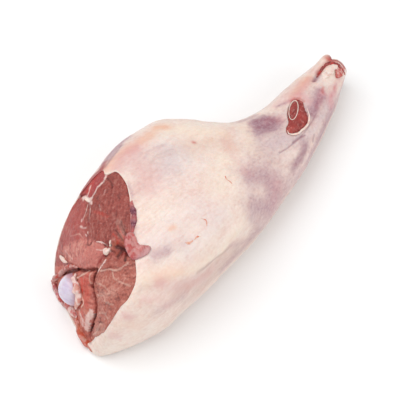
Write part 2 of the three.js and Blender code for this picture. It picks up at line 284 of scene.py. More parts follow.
def joined(shells: list[Shell]) -> Shell:
    """Several shells as one mesh.

    Args:
        shells: the shells.

    Returns:
        One shell, with 0 for a mark that a shell lacks.
    """
    offsets = np.cumsum([0] + [len(shell.points) for shell in shells])
    ends = np.cumsum([0] + [len(shell.corners) for shell in shells])
    marks = {
        name: np.concatenate([shell.marks.get(name, np.zeros(len(shell.points))) for shell in shells])
        for name in sorted({name for shell in shells for name in shell.marks})
    }
    return Shell(
        np.concatenate([shell.points for shell in shells]),
        np.concatenate([shell.corners + offset for shell, offset in zip(shells, offsets)]),
        np.concatenate([shell.starts + end for shell, end in zip(shells, ends)]),
        marks,
    )


def grid_normals(rings: Array) -> Array:
    """Outward directions of a grid of rings: the cross of the run around and the run ahead."""
    around = np.roll(rings, -1, axis=1) - np.roll(rings, 1, axis=1)
    return unit(np.cross(around, np.gradient(rings, axis=0)))


def strand(
    path: Array, up: Array, half_width: Array, half_height: Array, sides: int, looped: bool = False
) -> Shell:
    """A strand of elliptical rings: path + side * half_width * cos + rise * half_height * sin.

    Args:
        path: the middle line, as (count, 3).
        up: the outward direction of what the strand lies on, at each point.
        half_width: half the section's width at each point.
        half_height: half the section's height at each point.
        sides: how many points go round the section.
        looped: whether its last ring meets the first. Otherwise a pole closes each end.

    Returns:
        The strand.
    """
    run = np.roll(path, -1, axis=0) - np.roll(path, 1, axis=0) if looped else np.gradient(path, axis=0)
    forward = unit(run)
    side = unit(np.cross(up, forward))
    rise = np.cross(forward, side)
    turn = 2 * np.pi * np.arange(sides) / sides
    sideways = side[:, None] * (half_width[:, None] * np.cos(turn))[..., None]
    rings = path[:, None] + sideways + rise[:, None] * (half_height[:, None] * np.sin(turn))[..., None]
    if looped:
        here = np.arange(len(path) * sides).reshape(-1, sides)
        quads = facing(here, np.roll(here, -1, axis=0))
        return Shell(rings.reshape(-1, 3), quads.ravel(), np.arange(len(quads)) * 4)
    first = path[0] - forward[0] * half_height[0]
    last = path[-1] + forward[-1] * half_height[-1]
    return closed_shell(rings, first, last)


def make_piece(name: str, shell: Shell, finish: "Finish", slot: Slot = Slot.MEAT, node: str = "leg") -> None:
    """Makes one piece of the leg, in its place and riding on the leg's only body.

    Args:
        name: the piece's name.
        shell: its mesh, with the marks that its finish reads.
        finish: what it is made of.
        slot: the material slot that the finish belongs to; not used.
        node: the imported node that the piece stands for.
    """
    mesh = bpy.data.meshes.new(name)
    mesh.vertices.add(len(shell.points))
    mesh.vertices.foreach_set("co", (shell.points * MM).astype(np.float32).ravel())
    mesh.loops.add(len(shell.corners))
    mesh.loops.foreach_set("vertex_index", shell.corners.astype(np.int32))
    mesh.polygons.add(len(shell.starts))
    mesh.polygons.foreach_set("loop_start", shell.starts.astype(np.int32))
    mesh.polygons.foreach_set("use_smooth", np.ones(len(shell.starts), dtype=bool))
    mesh.update(calc_edges=True)
    for mark, values in shell.marks.items():
        layer = mesh.attributes.new(mark, "FLOAT", "POINT")
        layer.data.foreach_set("value", np.asarray(values, dtype=np.float32).ravel())
    mesh.materials.append(finish.material())
    piece = bpy.data.objects.new(name, mesh)
    bpy.context.scene.collection.objects.link(piece)
    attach(piece, BODY)
    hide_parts(node)
    LOG.info("%s: %d points, %d faces", name, len(shell.points), len(shell.starts))


# ---- finishes


def linear(colour: str) -> tuple[float, float, float, float]:
    """Turns an sRGB hex colour to linear.

    Args:
        colour: the colour, as #RRGGBB.

    Returns:
        Its linear red, green, blue and an alpha of 1.
    """
    parts = [int(colour[index:index + 2], 16) / 255 for index in (1, 3, 5)]
    curve = [part / 12.92 if part <= 0.04045 else ((part + 0.055) / 1.055) ** 2.4 for part in parts]
    return (*curve, 1.0)


def add(
    tree: bpy.types.NodeTree, kind: str, inputs: dict | None = None, **settings: object
) -> bpy.types.Node:
    """Adds a node, with its settings and what feeds it.

    Args:
        tree: the node tree.
        kind: the node's type.
        inputs: for a socket's name or number, the socket that feeds it or its plain value.
        settings: the node's own settings.

    Returns:
        The node.
    """
    node = tree.nodes.new(kind)
    for name, value in settings.items():
        setattr(node, name, value)
    for socket, value in (inputs or {}).items():
        if isinstance(value, bpy.types.NodeSocket):
            tree.links.new(value, node.inputs[socket])
        else:
            node.inputs[socket].default_value = value
    return node


@dataclass(frozen=True)
class Pattern:
    """A noise pattern in object space.

    Its features have a size in millimetres, drawn out along each axis once the axes are turned. The
    noise between low and high becomes 0 to 1.
    """

    size: float
    low: float = 0.36
    high: float = 0.66
    stretch: Triple = (1, 1, 1)
    turn: Triple = (0, 0, 0)
    detail: float = 3.0
    distortion: float = 0.0

    def field(self, tree: bpy.types.NodeTree, places: bpy.types.NodeSocket) -> bpy.types.NodeSocket:
        """Adds the pattern's nodes.

        Args:
            tree: the node tree.
            places: the socket of the places in object space.

        Returns:
            The socket of the pattern's value.
        """
        turned = add(tree, "ShaderNodeMapping", {
            "Vector": places,
            "Rotation": tuple(np.radians(self.turn)),
            "Scale": tuple(1.0 / stretch for stretch in self.stretch),
        })
        noise = add(tree, "ShaderNodeTexNoise", {
            "Vector": turned.outputs["Vector"],
            "Scale": 1.0 / (self.size * MM),
            "Detail": self.detail,
            "Distortion": self.distortion,
        })
        ranged = {"Value": noise.outputs[0], "From Min": self.low, "From Max": self.high}
        return add(tree, "ShaderNodeMapRange", ranged).outputs["Result"]


@dataclass(frozen=True)
class Finish:
    """Raw wet tissue: flesh that light enters, under a thin film of moisture that gives it gloss.

    Each layer is a colour, what lays it over those before, and how strongly. What lays it is one of
    the finish's patterns or of the mesh's own marks, or two of them with an asterisk between, which
    multiplies them. Each bump is a pattern and its height in millimetres.
    """

    name: str
    base: str
    patterns: dict[str, Pattern]
    layers: tuple[tuple[str, str, float], ...]
    bumps: tuple[tuple[str, float], ...] = ()
    roughness: float = 0.42
    ior: float = 1.4
    coat: float = 0.25
    coat_roughness: float = 0.22
    coat_ior: float = 1.35
    scatter: float = 0.15
    scatter_depth: float = 3.0
    scatter_colours: Triple = (1.0, 0.45, 0.3)

    def material(self) -> bpy.types.Material:
        """The finish as a material, made once.

        Returns:
            The material.
        """
        known = bpy.data.materials.get(self.name)
        if known:
            return known
        material = bpy.data.materials.new(self.name)
        material.use_nodes = True
        tree = material.node_tree
        tree.nodes.clear()
        places = add(tree, "ShaderNodeTexCoord").outputs["Object"]
        fields = {key: pattern.field(tree, places) for key, pattern in self.patterns.items()}
        colour = linear(self.base)
        for over, source, strength in self.layers:
            inputs = {0: self.share(tree, source, strength, fields), 6: colour, 7: linear(over)}
            colour = add(tree, "ShaderNodeMix", inputs, data_type="RGBA").outputs[2]
        shader = add(tree, "ShaderNodeBsdfPrincipled", {
            "Base Color": colour,
            "Roughness": self.roughness,
            "IOR": self.ior,
            "Subsurface Weight": self.scatter,
            "Subsurface Scale": self.scatter_depth * MM,
            "Subsurface Radius": self.scatter_colours,
            "Coat Weight": self.coat,
            "Coat Roughness": self.coat_roughness,
            "Coat IOR": self.coat_ior,
        })
        normal = {}
        for key, height in self.bumps:
            relief = {"Height": fields[key], "Strength": 1.0, "Distance": height * MM}
            normal = {"Normal": add(tree, "ShaderNodeBump", relief | normal).outputs["Normal"]}
        for socket in normal.values():
            tree.links.new(socket, shader.inputs["Normal"])
        add(tree, "ShaderNodeOutputMaterial", {"Surface": shader.outputs["BSDF"]})
        return material

    def share(
        self, tree: bpy.types.NodeTree, source: str, strength: float, fields: dict[str, bpy.types.NodeSocket]
    ) -> bpy.types.NodeSocket:
        """The share of one layer, from 0 to 1: the product of what lays it and its strength.

        Args:
            tree: the node tree.
            source: the names of what lays it, with an asterisk between them.
            strength: how strongly it is laid.
            fields: the patterns' sockets by name. Any other name is a mark of the mesh.

        Returns:
            The share's socket.
        """
        share = strength
        for name in source.split("*"):
            value = fields.get(name)
            if value is None:
                value = add(tree, "ShaderNodeAttribute", attribute_name=name).outputs["Fac"]
            product = add(tree, "ShaderNodeMath", {0: value, 1: share}, operation="MULTIPLY", use_clamp=True)
            share = product.outputs[0]
        return share


# Lamb fat under its membrane: cream where it is thick, pink and mauve where the meat shows through
# it, with drawn-out strands of connective tissue. Waxy, soft to the eye and a little glossy. The
# membrane's fibres are a few tenths of a millimetre wide and are drawn 2 to 4 mm wide, to show.
FAT = Finish(
    name="lamb fat under membrane",
    base="#E8D4C6",
    patterns={
        "broad": Pattern(52, 0.38, 0.64, (1.3, 1, 1)),
        "cloud": Pattern(19, 0.38, 0.66, (1.8, 1, 1), (0, 0, 12)),
        "strands": Pattern(3.6, 0.45, 0.68, (11, 1, 1), (0, 0, 8), distortion=0.5),
        "web": Pattern(7, 0.47, 0.53, (2.2, 1, 1), (0, 0, -20), distortion=1.5),
        "mottle": Pattern(3.2, 0.42, 0.7),
        "blot": Pattern(6, 0.58, 0.72, detail=2),
        "fleck": Pattern(2.4, 0.48, 0.7, (1.5, 1, 1), (0, 0, 15)),
        "grain": Pattern(1.7, 0.2, 0.8, (1.6, 1, 1), detail=4),
    },
    layers=(
        ("#D9B4AC", "broad", 0.6),
        ("#EDDFD6", "cloud", 0.45),
        ("#D3A497", "strands", 0.2),
        ("#F5ECE4", "web", 0.16),
        ("#F7EDE6", "mottle", 0.26),
        ("#DFAEA0", "blot", 0.26),
        ("#C9948A", "fleck", 0.13),
        ("#EFDCC6", "cream", 0.5),
        ("#DAD0D3", "frost", 0.6),
        ("#E6AE90", "peach", 0.8),
        # tawny, mauve and plum: the meat under the fat, and also painted shade in the near-side groove, along
        # the near side's lower edge and beside the rump's upper rim
        ("#B7988B", "tawny", 0.85),
        ("#AE8891", "mauve", 0.85),
        ("#D39396", "blush", 0.8),
        ("#8A5768", "plum", 0.9),
        ("#E9D8D4", "mottle*mauve", 0.2),
        ("#8F6674", "fleck*mauve", 0.36),
        ("#C0463B", "blood", 0.9),
        ("#E8D5CB", "cut_fat", 0.8),
        ("#9E4544", "raw", 0.95),
    ),
    bumps=(("grain", 0.24), ("strands", 0.16)),
    roughness=0.45, coat=0.2, coat_roughness=0.25, scatter=0.2,
)

# Lean lamb cut across its bundles of fibre: coarse, moist and brownish rose, paler where tendon
# and fat run between the bundles, which are about 1.5 mm thick and drawn up to 2.6 mm, to show. Its
# marks are the muscles' own colours, what is laid on them, and painted shade in its crevices and
# cracks. Its pale wet specks are painted glints.
LEAN = Finish(
    name="lean lamb, knife cut",
    base="#973F36",
    patterns={
        "broad": Pattern(16, 0.38, 0.64),
        "bundles": Pattern(2.6, 0.4, 0.66, detail=4, distortion=0.8),
        "pits": Pattern(2, 0.56, 0.7, detail=2),
        "wet": Pattern(2.3, 0.6, 0.74, detail=2),
        "grain": Pattern(1.5, 0.2, 0.8, detail=4),
    },
    layers=(
        ("#7F3730", "broad", 0.5),
        ("#AC504C", "rose", 0.95),
        ("#C8756B", "pink", 0.95),
        ("#B36556", "tan", 0.95),
        ("#CB7061", "warm", 0.9),
        ("#A63F42", "strip", 0.9),
        ("#B9695D", "bundles", 0.3),
        ("#6E2B27", "fibre_shade", 0.8),
        ("#D99C8D", "fibre_light", 0.75),
        ("#6B2A27", "pits", 0.35),
        # painted glints on the moist surface
        ("#D59A8C", "wet", 0.35),
        ("#BC5F3C", "amber", 0.9),
        ("#CF3D2F", "red", 0.9),
        # blood: seeping blood, and painted shade along the crevice and beside the knob's seam
        ("#8A1F1E", "blood", 0.9),
        ("#B98494", "mauve", 0.9),
        ("#E8C9B8", "cream", 0.92),
        ("#F0D6CE", "sinew", 0.97),
        # dark: painted shade in the crevices and cracks
        ("#45100F", "dark", 0.95),
    ),
    bumps=(("bundles", 0.4), ("grain", 0.22)),
    coat=0.22, coat_roughness=0.25, scatter=0.1,
)

# Joint cartilage: bluish white, very smooth and wet, so its highlights are sharp.
CARTILAGE = Finish(
    name="wet joint cartilage",
    base="#D4C9DC",
    patterns={
        "cloud": Pattern(8, 0.4, 0.66),
        "streak": Pattern(3, 0.5, 0.72, (1, 4, 1), (20, 40, 0), distortion=0.6),
    },
    layers=(("#E2DCE8", "cloud", 0.6), ("#C09FBF", "streak", 0.4), ("#C07F86", "blood", 0.85)),
    bumps=(("cloud", 0.15),),
    roughness=0.28, coat=0.45, coat_roughness=0.1, scatter=0.25,
)

# Bone end with its gristle: chalky pinkish white, stained where marrow and blood seep. Its pores
# are a few tenths of a millimetre wide and are drawn 1.6 mm wide, to show.
BONE = Finish(
    name="cut bone and gristle",
    base="#E4D2C4",
    patterns={"cloud": Pattern(7), "pores": Pattern(1.6, 0.54, 0.72)},
    layers=(("#EFE4DA", "cloud", 0.6), ("#BD776D", "pores", 0.45), ("#A9433B", "blood", 0.8)),
    bumps=(("pores", 0.3),),
    roughness=0.38, coat=0.3, coat_roughness=0.15, scatter=0.2,
)

# Sinew and ligament: pearly bands of fibre, tight and glossy, pink where flesh clings to them. The
# fibres are a few tenths of a millimetre wide and are drawn 1.8 mm wide, to show.
SINEW = Finish(
    name="pearly sinew",
    base="#EAD2C6",
    patterns={
        "fibres": Pattern(1.8, 0.42, 0.66, (3.5, 1, 1), (0, 30, 70)),
        "cloud": Pattern(4.5, 0.46, 0.66),
    },
    layers=(("#CF8F83", "cloud", 0.5), ("#F3E8E0", "fibres", 0.5)),
    bumps=(("fibres", 0.25),),
    roughness=0.36, coat=0.35, coat_roughness=0.15, scatter=0.2,
)

# Shank muscle seen through the window in the cover: deep red and fine-grained. Its bundles are
# under 1 mm thick and are drawn 2 mm thick, to show. Its pale wet specks are painted glints.
SHANK_MUSCLE = Finish(
    name="deep red shank muscle",
    base="#9A3F39",
    patterns={
        "broad": Pattern(5, 0.42, 0.6),
        "fibres": Pattern(2, 0.42, 0.66, (3, 1, 1), (0, 0, -38)),
        "wet": Pattern(2.6, 0.56, 0.68, detail=2),
    },
    layers=(
        ("#6E2022", "broad", 0.7),
        ("#B6605A", "fibres", 0.5),
        # painted glints on the moist surface
        ("#D79A90", "wet", 0.45),
        ("#C23B31", "red", 0.9),
        ("#5A1A1F", "dark", 0.85),
    ),
    bumps=(("fibres", 0.3),),
    roughness=0.38, coat=0.3, coat_roughness=0.2, scatter=0.1,
)

# A fold of membrane with blood under it: salmon pink, thin and slick, mauve along its edge, and
# nearly black purple where a filled vein shows through. Its threads are a few tenths of a
# millimetre wide and are drawn 2.2 mm wide, to show. The pale spots on the vein and the tongue's
# pale mottles are painted glints.
MEMBRANE = Finish(
    name="bloodshot membrane",
    base="#BC6661",
    patterns={
        "cloud": Pattern(5, 0.4, 0.64),
        "threads": Pattern(2.2, 0.48, 0.66, (1, 3, 1), (0, 0, 30), distortion=0.8),
        "spots": Pattern(2.6, 0.52, 0.6, detail=2),
    },
    layers=(
        ("#A8494A", "cloud", 0.55),
        ("#DDA39A", "threads", 0.4),
        ("#B03A38", "red", 0.8),
        ("#99586B", "edge", 0.8),
        # pale: the vein's pale start and the tongue's paler lobe, and painted glints on the tongue
        ("#E6C8C2", "pale", 0.85),
        ("#66243A", "vein", 0.95),
        # painted glints on the vein's filled lobes
        ("#C993A0", "spots*vein", 0.25),
    ),
    bumps=(("threads", 0.35),),
    roughness=0.34, coat=0.4, coat_roughness=0.15, scatter=0.2,
)

# Fine vessels just under the membrane, orange-red through the fat.
CAPILLARY = Finish(
    name="capillary in fat",
    base="#D9826B",
    patterns={"cloud": Pattern(3, 0.42, 0.6)},
    layers=(("#ECC2AE", "cloud", 0.7),),
    scatter=0.25,
)


# ---- the leg's form


@dataclass(frozen=True)
class LegForm:
    """The skin of the whole leg, as sections at even stations along it.

    At each station, near and far are the sides, and under and top the heights. The outline between
    them is a superellipse in each quarter, whose widest line is the belt. What would lie below the
    surface that the leg rests on is pressed up to it.
    """

    first_station: float = -253.0
    pitch: float = 38.0
    near: Row = (-28, -37, -61, -76, -78, -78, -77, -73, -67, -58, -46, -30, -11, 6)
    far: Row = (87, 62, 47, 54, 64, 74, 78, 69, 27, 14, 12, 10, 9, 10)
    under: Row = (-8, -10, -11, -11, -11, -11, -10, -6, 2, 8, 10, 11, 13, 15)
    top: Row = (80, 84, 92, 101, 104, 100, 92, 80, 67, 60, 56, 52, 43, 40)
    floor_blend: float = 3.0
    belt: Pair = (0.43, 0.48)
    belt_span: Pair = (-140.0, 50.0)
    roundness: Pair = (0.66, 0.92)
    roundness_span: Pair = (-100.0, 128.0)

    def section(self, x: Array) -> tuple[Array, ...]:
        """The section at each x, whose values follow a uniform Catmull-Rom curve along the leg.

        Args:
            x: how far along the leg.

        Returns:
            The section's middle, half width, belt height, under, top and exponent.
        """
        place = (np.asarray(x, dtype=float) - self.first_station) / self.pitch
        first = np.clip(np.floor(place).astype(int), 1, len(self.near) - 3)

        def follow(values: Row) -> Array:
            """One of the stations' values along the curve."""
            given = np.asarray(values, dtype=float)
            return between(*(given[first + step] for step in (-1, 0, 1, 2)), place - first)

        near, far, under, top = (follow(values) for values in (self.near, self.far, self.under, self.top))
        belt = mix(*self.belt, smooth_step(*self.belt_span, x))
        exponent = mix(*self.roundness, smooth_step(*self.roundness_span, x))
        return (near + far) / 2, (far - near) / 2, under + belt * (top - under), under, top, exponent

    def skin(self, x: Array, angle: Array) -> Array:
        """The skin's point at x, in one direction round the section.

        A superellipse reaches (|cos|^p + |sin|^p)^(-1/p) in a direction, with p = 2 / exponent. Near
        the floor, a height z becomes (z + blend)^2 / (4 * blend).

        Args:
            x: how far along the leg.
            angle: the direction, from sideways towards upwards.

        Returns:
            The points, as (..., 3).
        """
        middle, half_width, belt, under, top, exponent = self.section(x)
        power = 2.0 / exponent
        sideways, upward = np.cos(angle), np.sin(angle)
        reach = (np.abs(sideways) ** power + np.abs(upward) ** power) ** (-1.0 / power)
        height = np.where(upward > 0, top - belt, belt - under)
        z = belt + height * upward * reach
        blend = self.floor_blend
        rolled = (np.clip(z, -blend, blend) + blend) ** 2 / (4 * blend)
        z = np.where(z > blend, z, rolled)
        return np.stack([x + 0 * z, middle + half_width * sideways * reach, z], axis=-1)

    def height(self, x: Array, y: Array) -> Array:
        """The height of the upper skin over places in plan.

        It is the belt's, plus cos^exponent of the angle whose sin^exponent is the share of the half
        width.

        Args:
            x: how far along the leg.
            y: how far across it.

        Returns:
            One height for each place.
        """
        middle, half_width, belt, _, top, exponent = self.section(x)
        sideways = np.minimum(np.abs((y - middle) / half_width), 1.0) ** (1.0 / exponent)
        return belt + (top - belt) * np.sqrt(1.0 - sideways ** 2) ** exponent


@dataclass(frozen=True)
class Cut:
    """A knife cut through the leg: a plane, slightly domed, with its own across and down.

    It meets the skin somewhere between the two x of its span.
    """

    origin: Triple
    azimuth: float
    elevation: float
    span: Pair
    dome_across: float = 0.0
    dome_down: float = 0.0
    halvings: int = 40

    def axes(self) -> tuple[Array, Array, Array]:
        """The cut's own directions.

        Returns:
            Across the cut, down it and out of it.
        """
        azimuth, elevation = np.radians([self.azimuth, self.elevation])
        flat = np.cos(elevation)
        out = np.array([flat * np.cos(azimuth), flat * np.sin(azimuth), np.sin(elevation)])
        across = np.array([np.sin(azimuth), -np.cos(azimuth), 0.0])
        return across, np.cross(out, across), out

    def locate(self, points: Array) -> tuple[Array, Array, Array]:
        """Where points are on the cut.

        The dome lies dome_across * u^2 + dome_down * v^2 below the plane, u across and v down.

        Args:
            points: places, as (..., 3).

        Returns:
            How far each is across, down, and out of the dome.
        """
        across, down, out = self.axes()
        offset = points - np.array(self.origin)
        u, v = offset @ across, offset @ down
        return u, v, offset @ out + self.dome_across * u ** 2 + self.dome_down * v ** 2

    def normal(self, u: Array, v: Array) -> Array:
        """The outward directions of the domed cut, square to its slopes.

        Args:
            u: how far across each place is.
            v: how far down it is.

        Returns:
            One direction for each place.
        """
        across, down, out = self.axes()
        slope_u, slope_v = 2 * self.dome_across * u, 2 * self.dome_down * v
        return unit(out + slope_u[..., None] * across + slope_v[..., None] * down)

    def place(self, u: Array, v: Array, raised: Array | float = 0.0) -> Array:
        """The points of the domed cut, raised along its outward direction.

        Args:
            u: how far across each is.
            v: how far down each is.
            raised: how far each is above the dome.

        Returns:
            The points, as (..., 3).
        """
        across, down, out = self.axes()
        dome = self.dome_across * u ** 2 + self.dome_down * v ** 2
        flat = np.array(self.origin) + u[..., None] * across + v[..., None] * down
        lift = np.broadcast_to(np.asarray(raised, dtype=float), u.shape)
        return flat - dome[..., None] * out + lift[..., None] * self.normal(u, v)

    def meeting(self, form: LegForm, angle: Array) -> Array:
        """The x at which the cut meets the skin, by halving its span again and again.

        Args:
            form: the leg's form.
            angle: the directions round the leg's section.

        Returns:
            One x for each direction.
        """
        low_x, high_x = (np.full_like(angle, end) for end in self.span)
        low_side = self.locate(form.skin(low_x, angle))[2] > 0
        for _ in range(self.halvings):
            middle = (low_x + high_x) / 2
            same = (self.locate(form.skin(middle, angle))[2] > 0) == low_side
            low_x, high_x = np.where(same, middle, low_x), np.where(same, high_x, middle)
        return (low_x + high_x) / 2


FORM = LegForm()
RUMP = Cut((-143.0, -23.0, 89.7), 161.7, 53.5, (-250.0, 40.0), 0.0019, 0.0053)
HOCK = Cut((190.0, -11.0, 40.0), 18.0, 16.0, (60.0, 240.0))
RUMP_MIDDLE = np.array([16.0, 41.0])
BALL_CENTRE = np.array([24.0, 66.0])

# The window in the shank's cover, in plan, counterclockwise from above.
WINDOW: Line = (
    (119, -10), (113, -10), (104, -13), (96, -19), (91, -25), (84, -28), (80, -34), (86, -38.5), (94, -39),
    (103, -38.5), (111, -34), (116, -25), (121, -17),
)


# ---- the skin's relief


@dataclass(frozen=True)
class Groove:
    """A dip, or where its depth is negative a ridge, along a line on the skin."""

    line: Line
    depth: float
    width: float


@dataclass(frozen=True)
class SkinRelief:
    """How far the fat cover stands above or below the leg's smooth form.

    A swell is noise, by its height, size and pattern. The arcs are faint fibres round the hip's
    crown: how far apart they are, how they waver and the radii between which they show. A depth or
    height is in millimetres, as is the place in the window's step and in the fade above the floor.
    """

    swells: tuple[tuple[float, float | Triple, int], ...] = (
        (1.2, 48, 3), (0.5, 19, 4), (0.3, (16, 7, 7), 6), (0.15, 4.5, 5),
    )
    grooves: tuple[Groove, ...] = (
        Groove(((-148, -58, 89), (-138, -67, 83), (-126, -74, 72), (-98, -77, 61), (-69, -77, 57)), 1.9, 7),
        Groove(((-69, -77, 57), (-43, -77, 56), (-10, -72, 62), (20, -64, 62)), 1.3, 9),
        Groove(((-138, -52, 95), (-121, -63, 91), (-97, -73, 78), (-64, -77, 68), (-23, -72, 72)), -1.3, 7),
        Groove(((-105, -78, 36), (-65, -78, 40), (-22, -77, 45)), 1, 8),
        Groove(((62, -12, 63), (72, -13, 62), (84, -13, 60)), 2.4, 9.5),
        Groove(((57, -43, 63), (66, -44, 60), (76, -44, 58), (86, -44, 56), (93, -43, 55)), 0.9, 1.5),
        Groove(((77, -43, 58), (86, -43, 56), (94, -45, 54)), 0.8, 1.6),
        Groove(((133, -29, 53), (126, -30, 54), (118, -31, 55)), 0.9, 4),
        Groove(((147, -15, 54), (160, -13, 53), (174, -12, 50), (182, -11, 46)), -1.6, 4.5),
        Groove(((148, -9, 54), (155, -7, 53), (162, -5, 52), (172, -3, 50), (184, -3, 45)), 2.8, 2.6),
        Groove(((176, 3, 48), (183, 4, 45), (188, 5, 42)), -3.6, 5.5),
        Groove(((-112, 70, 52), (-62, 78, 54), (-12, 70, 58)), 1, 9),
        Groove(((-70, 80, 26), (-20, 76, 30), (20, 56, 34)), 0.9, 8),
        Groove(((170, -26, 42), (150, -31, 49), (128, -38, 50)), 0.8, 3),
    )
    arc_height: float = 0.12
    arc_centre: Triple = (-35.0, 14.0, 94.0)
    arc_turn: float = 14.0
    arc_closeness: float = 3.4
    arc_waver: float = 8.0
    arc_waver_size: float = 20.0
    arc_size: float = 9.0
    arc_start: Pair = (8.0, 18.0)
    arc_end: Pair = (48.0, 28.0)
    window_depth: float = 2.4
    window_edge: float = 0.7
    window_points: int = 60
    window_above: float = 40.0
    floor_fade: Pair = (0.5, 9.0)

    def raised(self, points: Array) -> Array:
        """The height above the smooth form at points of it.

        It is the swells and the arcs, less each groove's bell and the step down in the window. It
        fades out near the surface that the leg rests on.

        Args:
            points: places on the smooth form, as (..., 3).

        Returns:
            One height for each point.
        """
        total = sum(height * value_noise(points, size, seed) for height, size, seed in self.swells)
        total = total + self.arc_height * self.arcs(points)
        for groove in self.grooves:
            distance, _ = distance_to(points, groove.line)
            total = total - groove.depth * hill(distance, groove.width)
        near_window = depth_inside(points[..., :2], WINDOW, self.window_points)
        inside = smooth_step(-self.window_edge, self.window_edge, near_window)
        total = total - self.window_depth * inside * (points[..., 2] > self.window_above)
        return total * smooth_step(*self.floor_fade, points[..., 2])

    def arcs(self, points: Array) -> Array:
        """Arcs of fibre round the hip's crown: noise in the angle and the radius about its centre.

        Args:
            points: places, as (..., 3).

        Returns:
            One value from -1 to 1 for each point.
        """
        offset = points - np.array(self.arc_centre)
        radius = np.linalg.norm(offset, axis=-1)
        bearing = np.arctan2(offset[..., 1], offset[..., 0])
        waver = value_noise(points, self.arc_waver_size, 8) * self.arc_waver
        turned = np.stack([
            self.arc_turn * np.cos(bearing), self.arc_turn * np.sin(bearing),
            radius * self.arc_closeness + waver,
        ], axis=-1)
        shown = smooth_step(*self.arc_start, radius) * smooth_step(*self.arc_end, radius)
        return value_noise(turned, self.arc_size, 7) * shown


RELIEF = SkinRelief()
SLOPE_STEP = 0.6
CUT_STEPS, CUT_STEP_SHARE, CUT_BLEND = 6, 0.8, 3.0


def surface(x: Array, y: Array, height: Callable[[Array, Array], Array]) -> tuple[Array, Array]:
    """The points of a height field over places in plan.

    Args:
        x: how far along the leg.
        y: how far across it.
        height: the field.

    Returns:
        The points, and the outward directions, square to the field's slopes about each place.
    """
    step = SLOPE_STEP
    slope_x = (height(x + step, y) - height(x - step, y)) / (2 * step)
    slope_y = (height(x, y + step) - height(x, y - step)) / (2 * step)
    up = unit(np.stack([-slope_x, -slope_y, np.ones_like(slope_x)], axis=-1))
    return np.stack([x, y, height(x, y)], axis=-1), up


def form_place(x: Array, y: Array) -> tuple[Array, Array]:
    """The points of the leg's smooth upper side over places in plan, and the outward directions."""
    return surface(x, y, FORM.height)


def upper_height(x: Array, y: Array) -> Array:
    """The height of the leg over places in plan: the smaller of the skin's and the rump cut's.

    The cut's height comes by steps from the skin's, each taking off a share of what stands beyond
    the cut. The two are blended, by a height, as their smooth minimum.

    Args:
        x: how far along the leg.
        y: how far across it.

    Returns:
        One height for each place.
    """
    skin = FORM.height(x, y)
    _, _, out = RUMP.axes()
    cut = skin.copy()
    for _ in range(CUT_STEPS):
        cut = cut - RUMP.locate(np.stack([x, y, cut], axis=-1))[2] / out[2] * CUT_STEP_SHARE
    share = np.clip(0.5 + 0.5 * (cut - skin) / CUT_BLEND, 0.0, 1.0)
    return mix(cut, skin, share) - CUT_BLEND * share * (1.0 - share) * 0.5


def skin_place(x: Array, y: Array) -> tuple[Array, Array]:
    """The points of the leg's upper side over places in plan, with its relief, and the directions."""
    points, up = surface(x, y, upper_height)
    return points + up * RELIEF.raised(points)[..., None], up


# ---- the rump's edge


@dataclass(frozen=True)
class RumpEdge:
    """The edge of the rump cut, with the fat's thickness round it.

    A direction on the cut is an angle from its middle, 0 across and 90 down. The thickness is given
    at some directions and runs evenly between them.
    """

    directions: Row = (
        -169, -155, -147, -141, -133, -126, -119, -110, -102, -93, -84, -77, -69, -62, -56, -50, -48, -46,
        -44.3, -43, -42, -10, 16, 47, 66, 102, 126, 133, 140, 149, 158, 168, 179,
    )
    thickness: Row = (
        10, 9, 5.3, 4.4, 3.2, 3.6, 4.8, 5.4, 6, 6, 4.2, 1.8, 0.8, 1.8, 4.5, 6.4, 8.2, 9.4,
        8.4, 3.6, 1, 0.9, 0.9, 1, 1.6, 2.4, 4, 9, 14, 14.5, 11.5, 9, 9.4,
    )
    rounding_share: float = 0.85
    most_rounding: float = 7.0

    def measure(self, across: Array, down: Array) -> tuple[Array, Array, Array]:
        """Measures the rim.

        Args:
            across: how far across the cut each rim point is.
            down: how far down it.

        Returns:
            Its distance from the middle, the fat's thickness there and the lip's rounding.
        """
        run = np.stack([across, down], axis=-1) - RUMP_MIDDLE
        direction = np.degrees(np.arctan2(run[..., 1], run[..., 0]))
        fat = np.interp(direction, self.directions, self.thickness, period=360.0)
        rounding = np.minimum(self.rounding_share * fat, self.most_rounding)
        return np.linalg.norm(run, axis=-1), fat, rounding


EDGE = RumpEdge()


# ---- the fat cover


class Tone(Enum):
    """What stains the fat cover, named as its finish names them. Some mauve, tawny and plum stains are
    painted shade.
    """

    MAUVE = "mauve"
    TAWNY = "tawny"
    PLUM = "plum"
    PEACH = "peach"
    BLUSH = "blush"
    BLOOD = "blood"
    RAW = "raw"
    FROST = "frost"
    CREAM = "cream"


@dataclass(frozen=True)
class Stain:
    """A stained place of the cover, along a line. Above a strength of 1 its middle is even."""

    line: Line
    width: float
    strength: float = 1.0


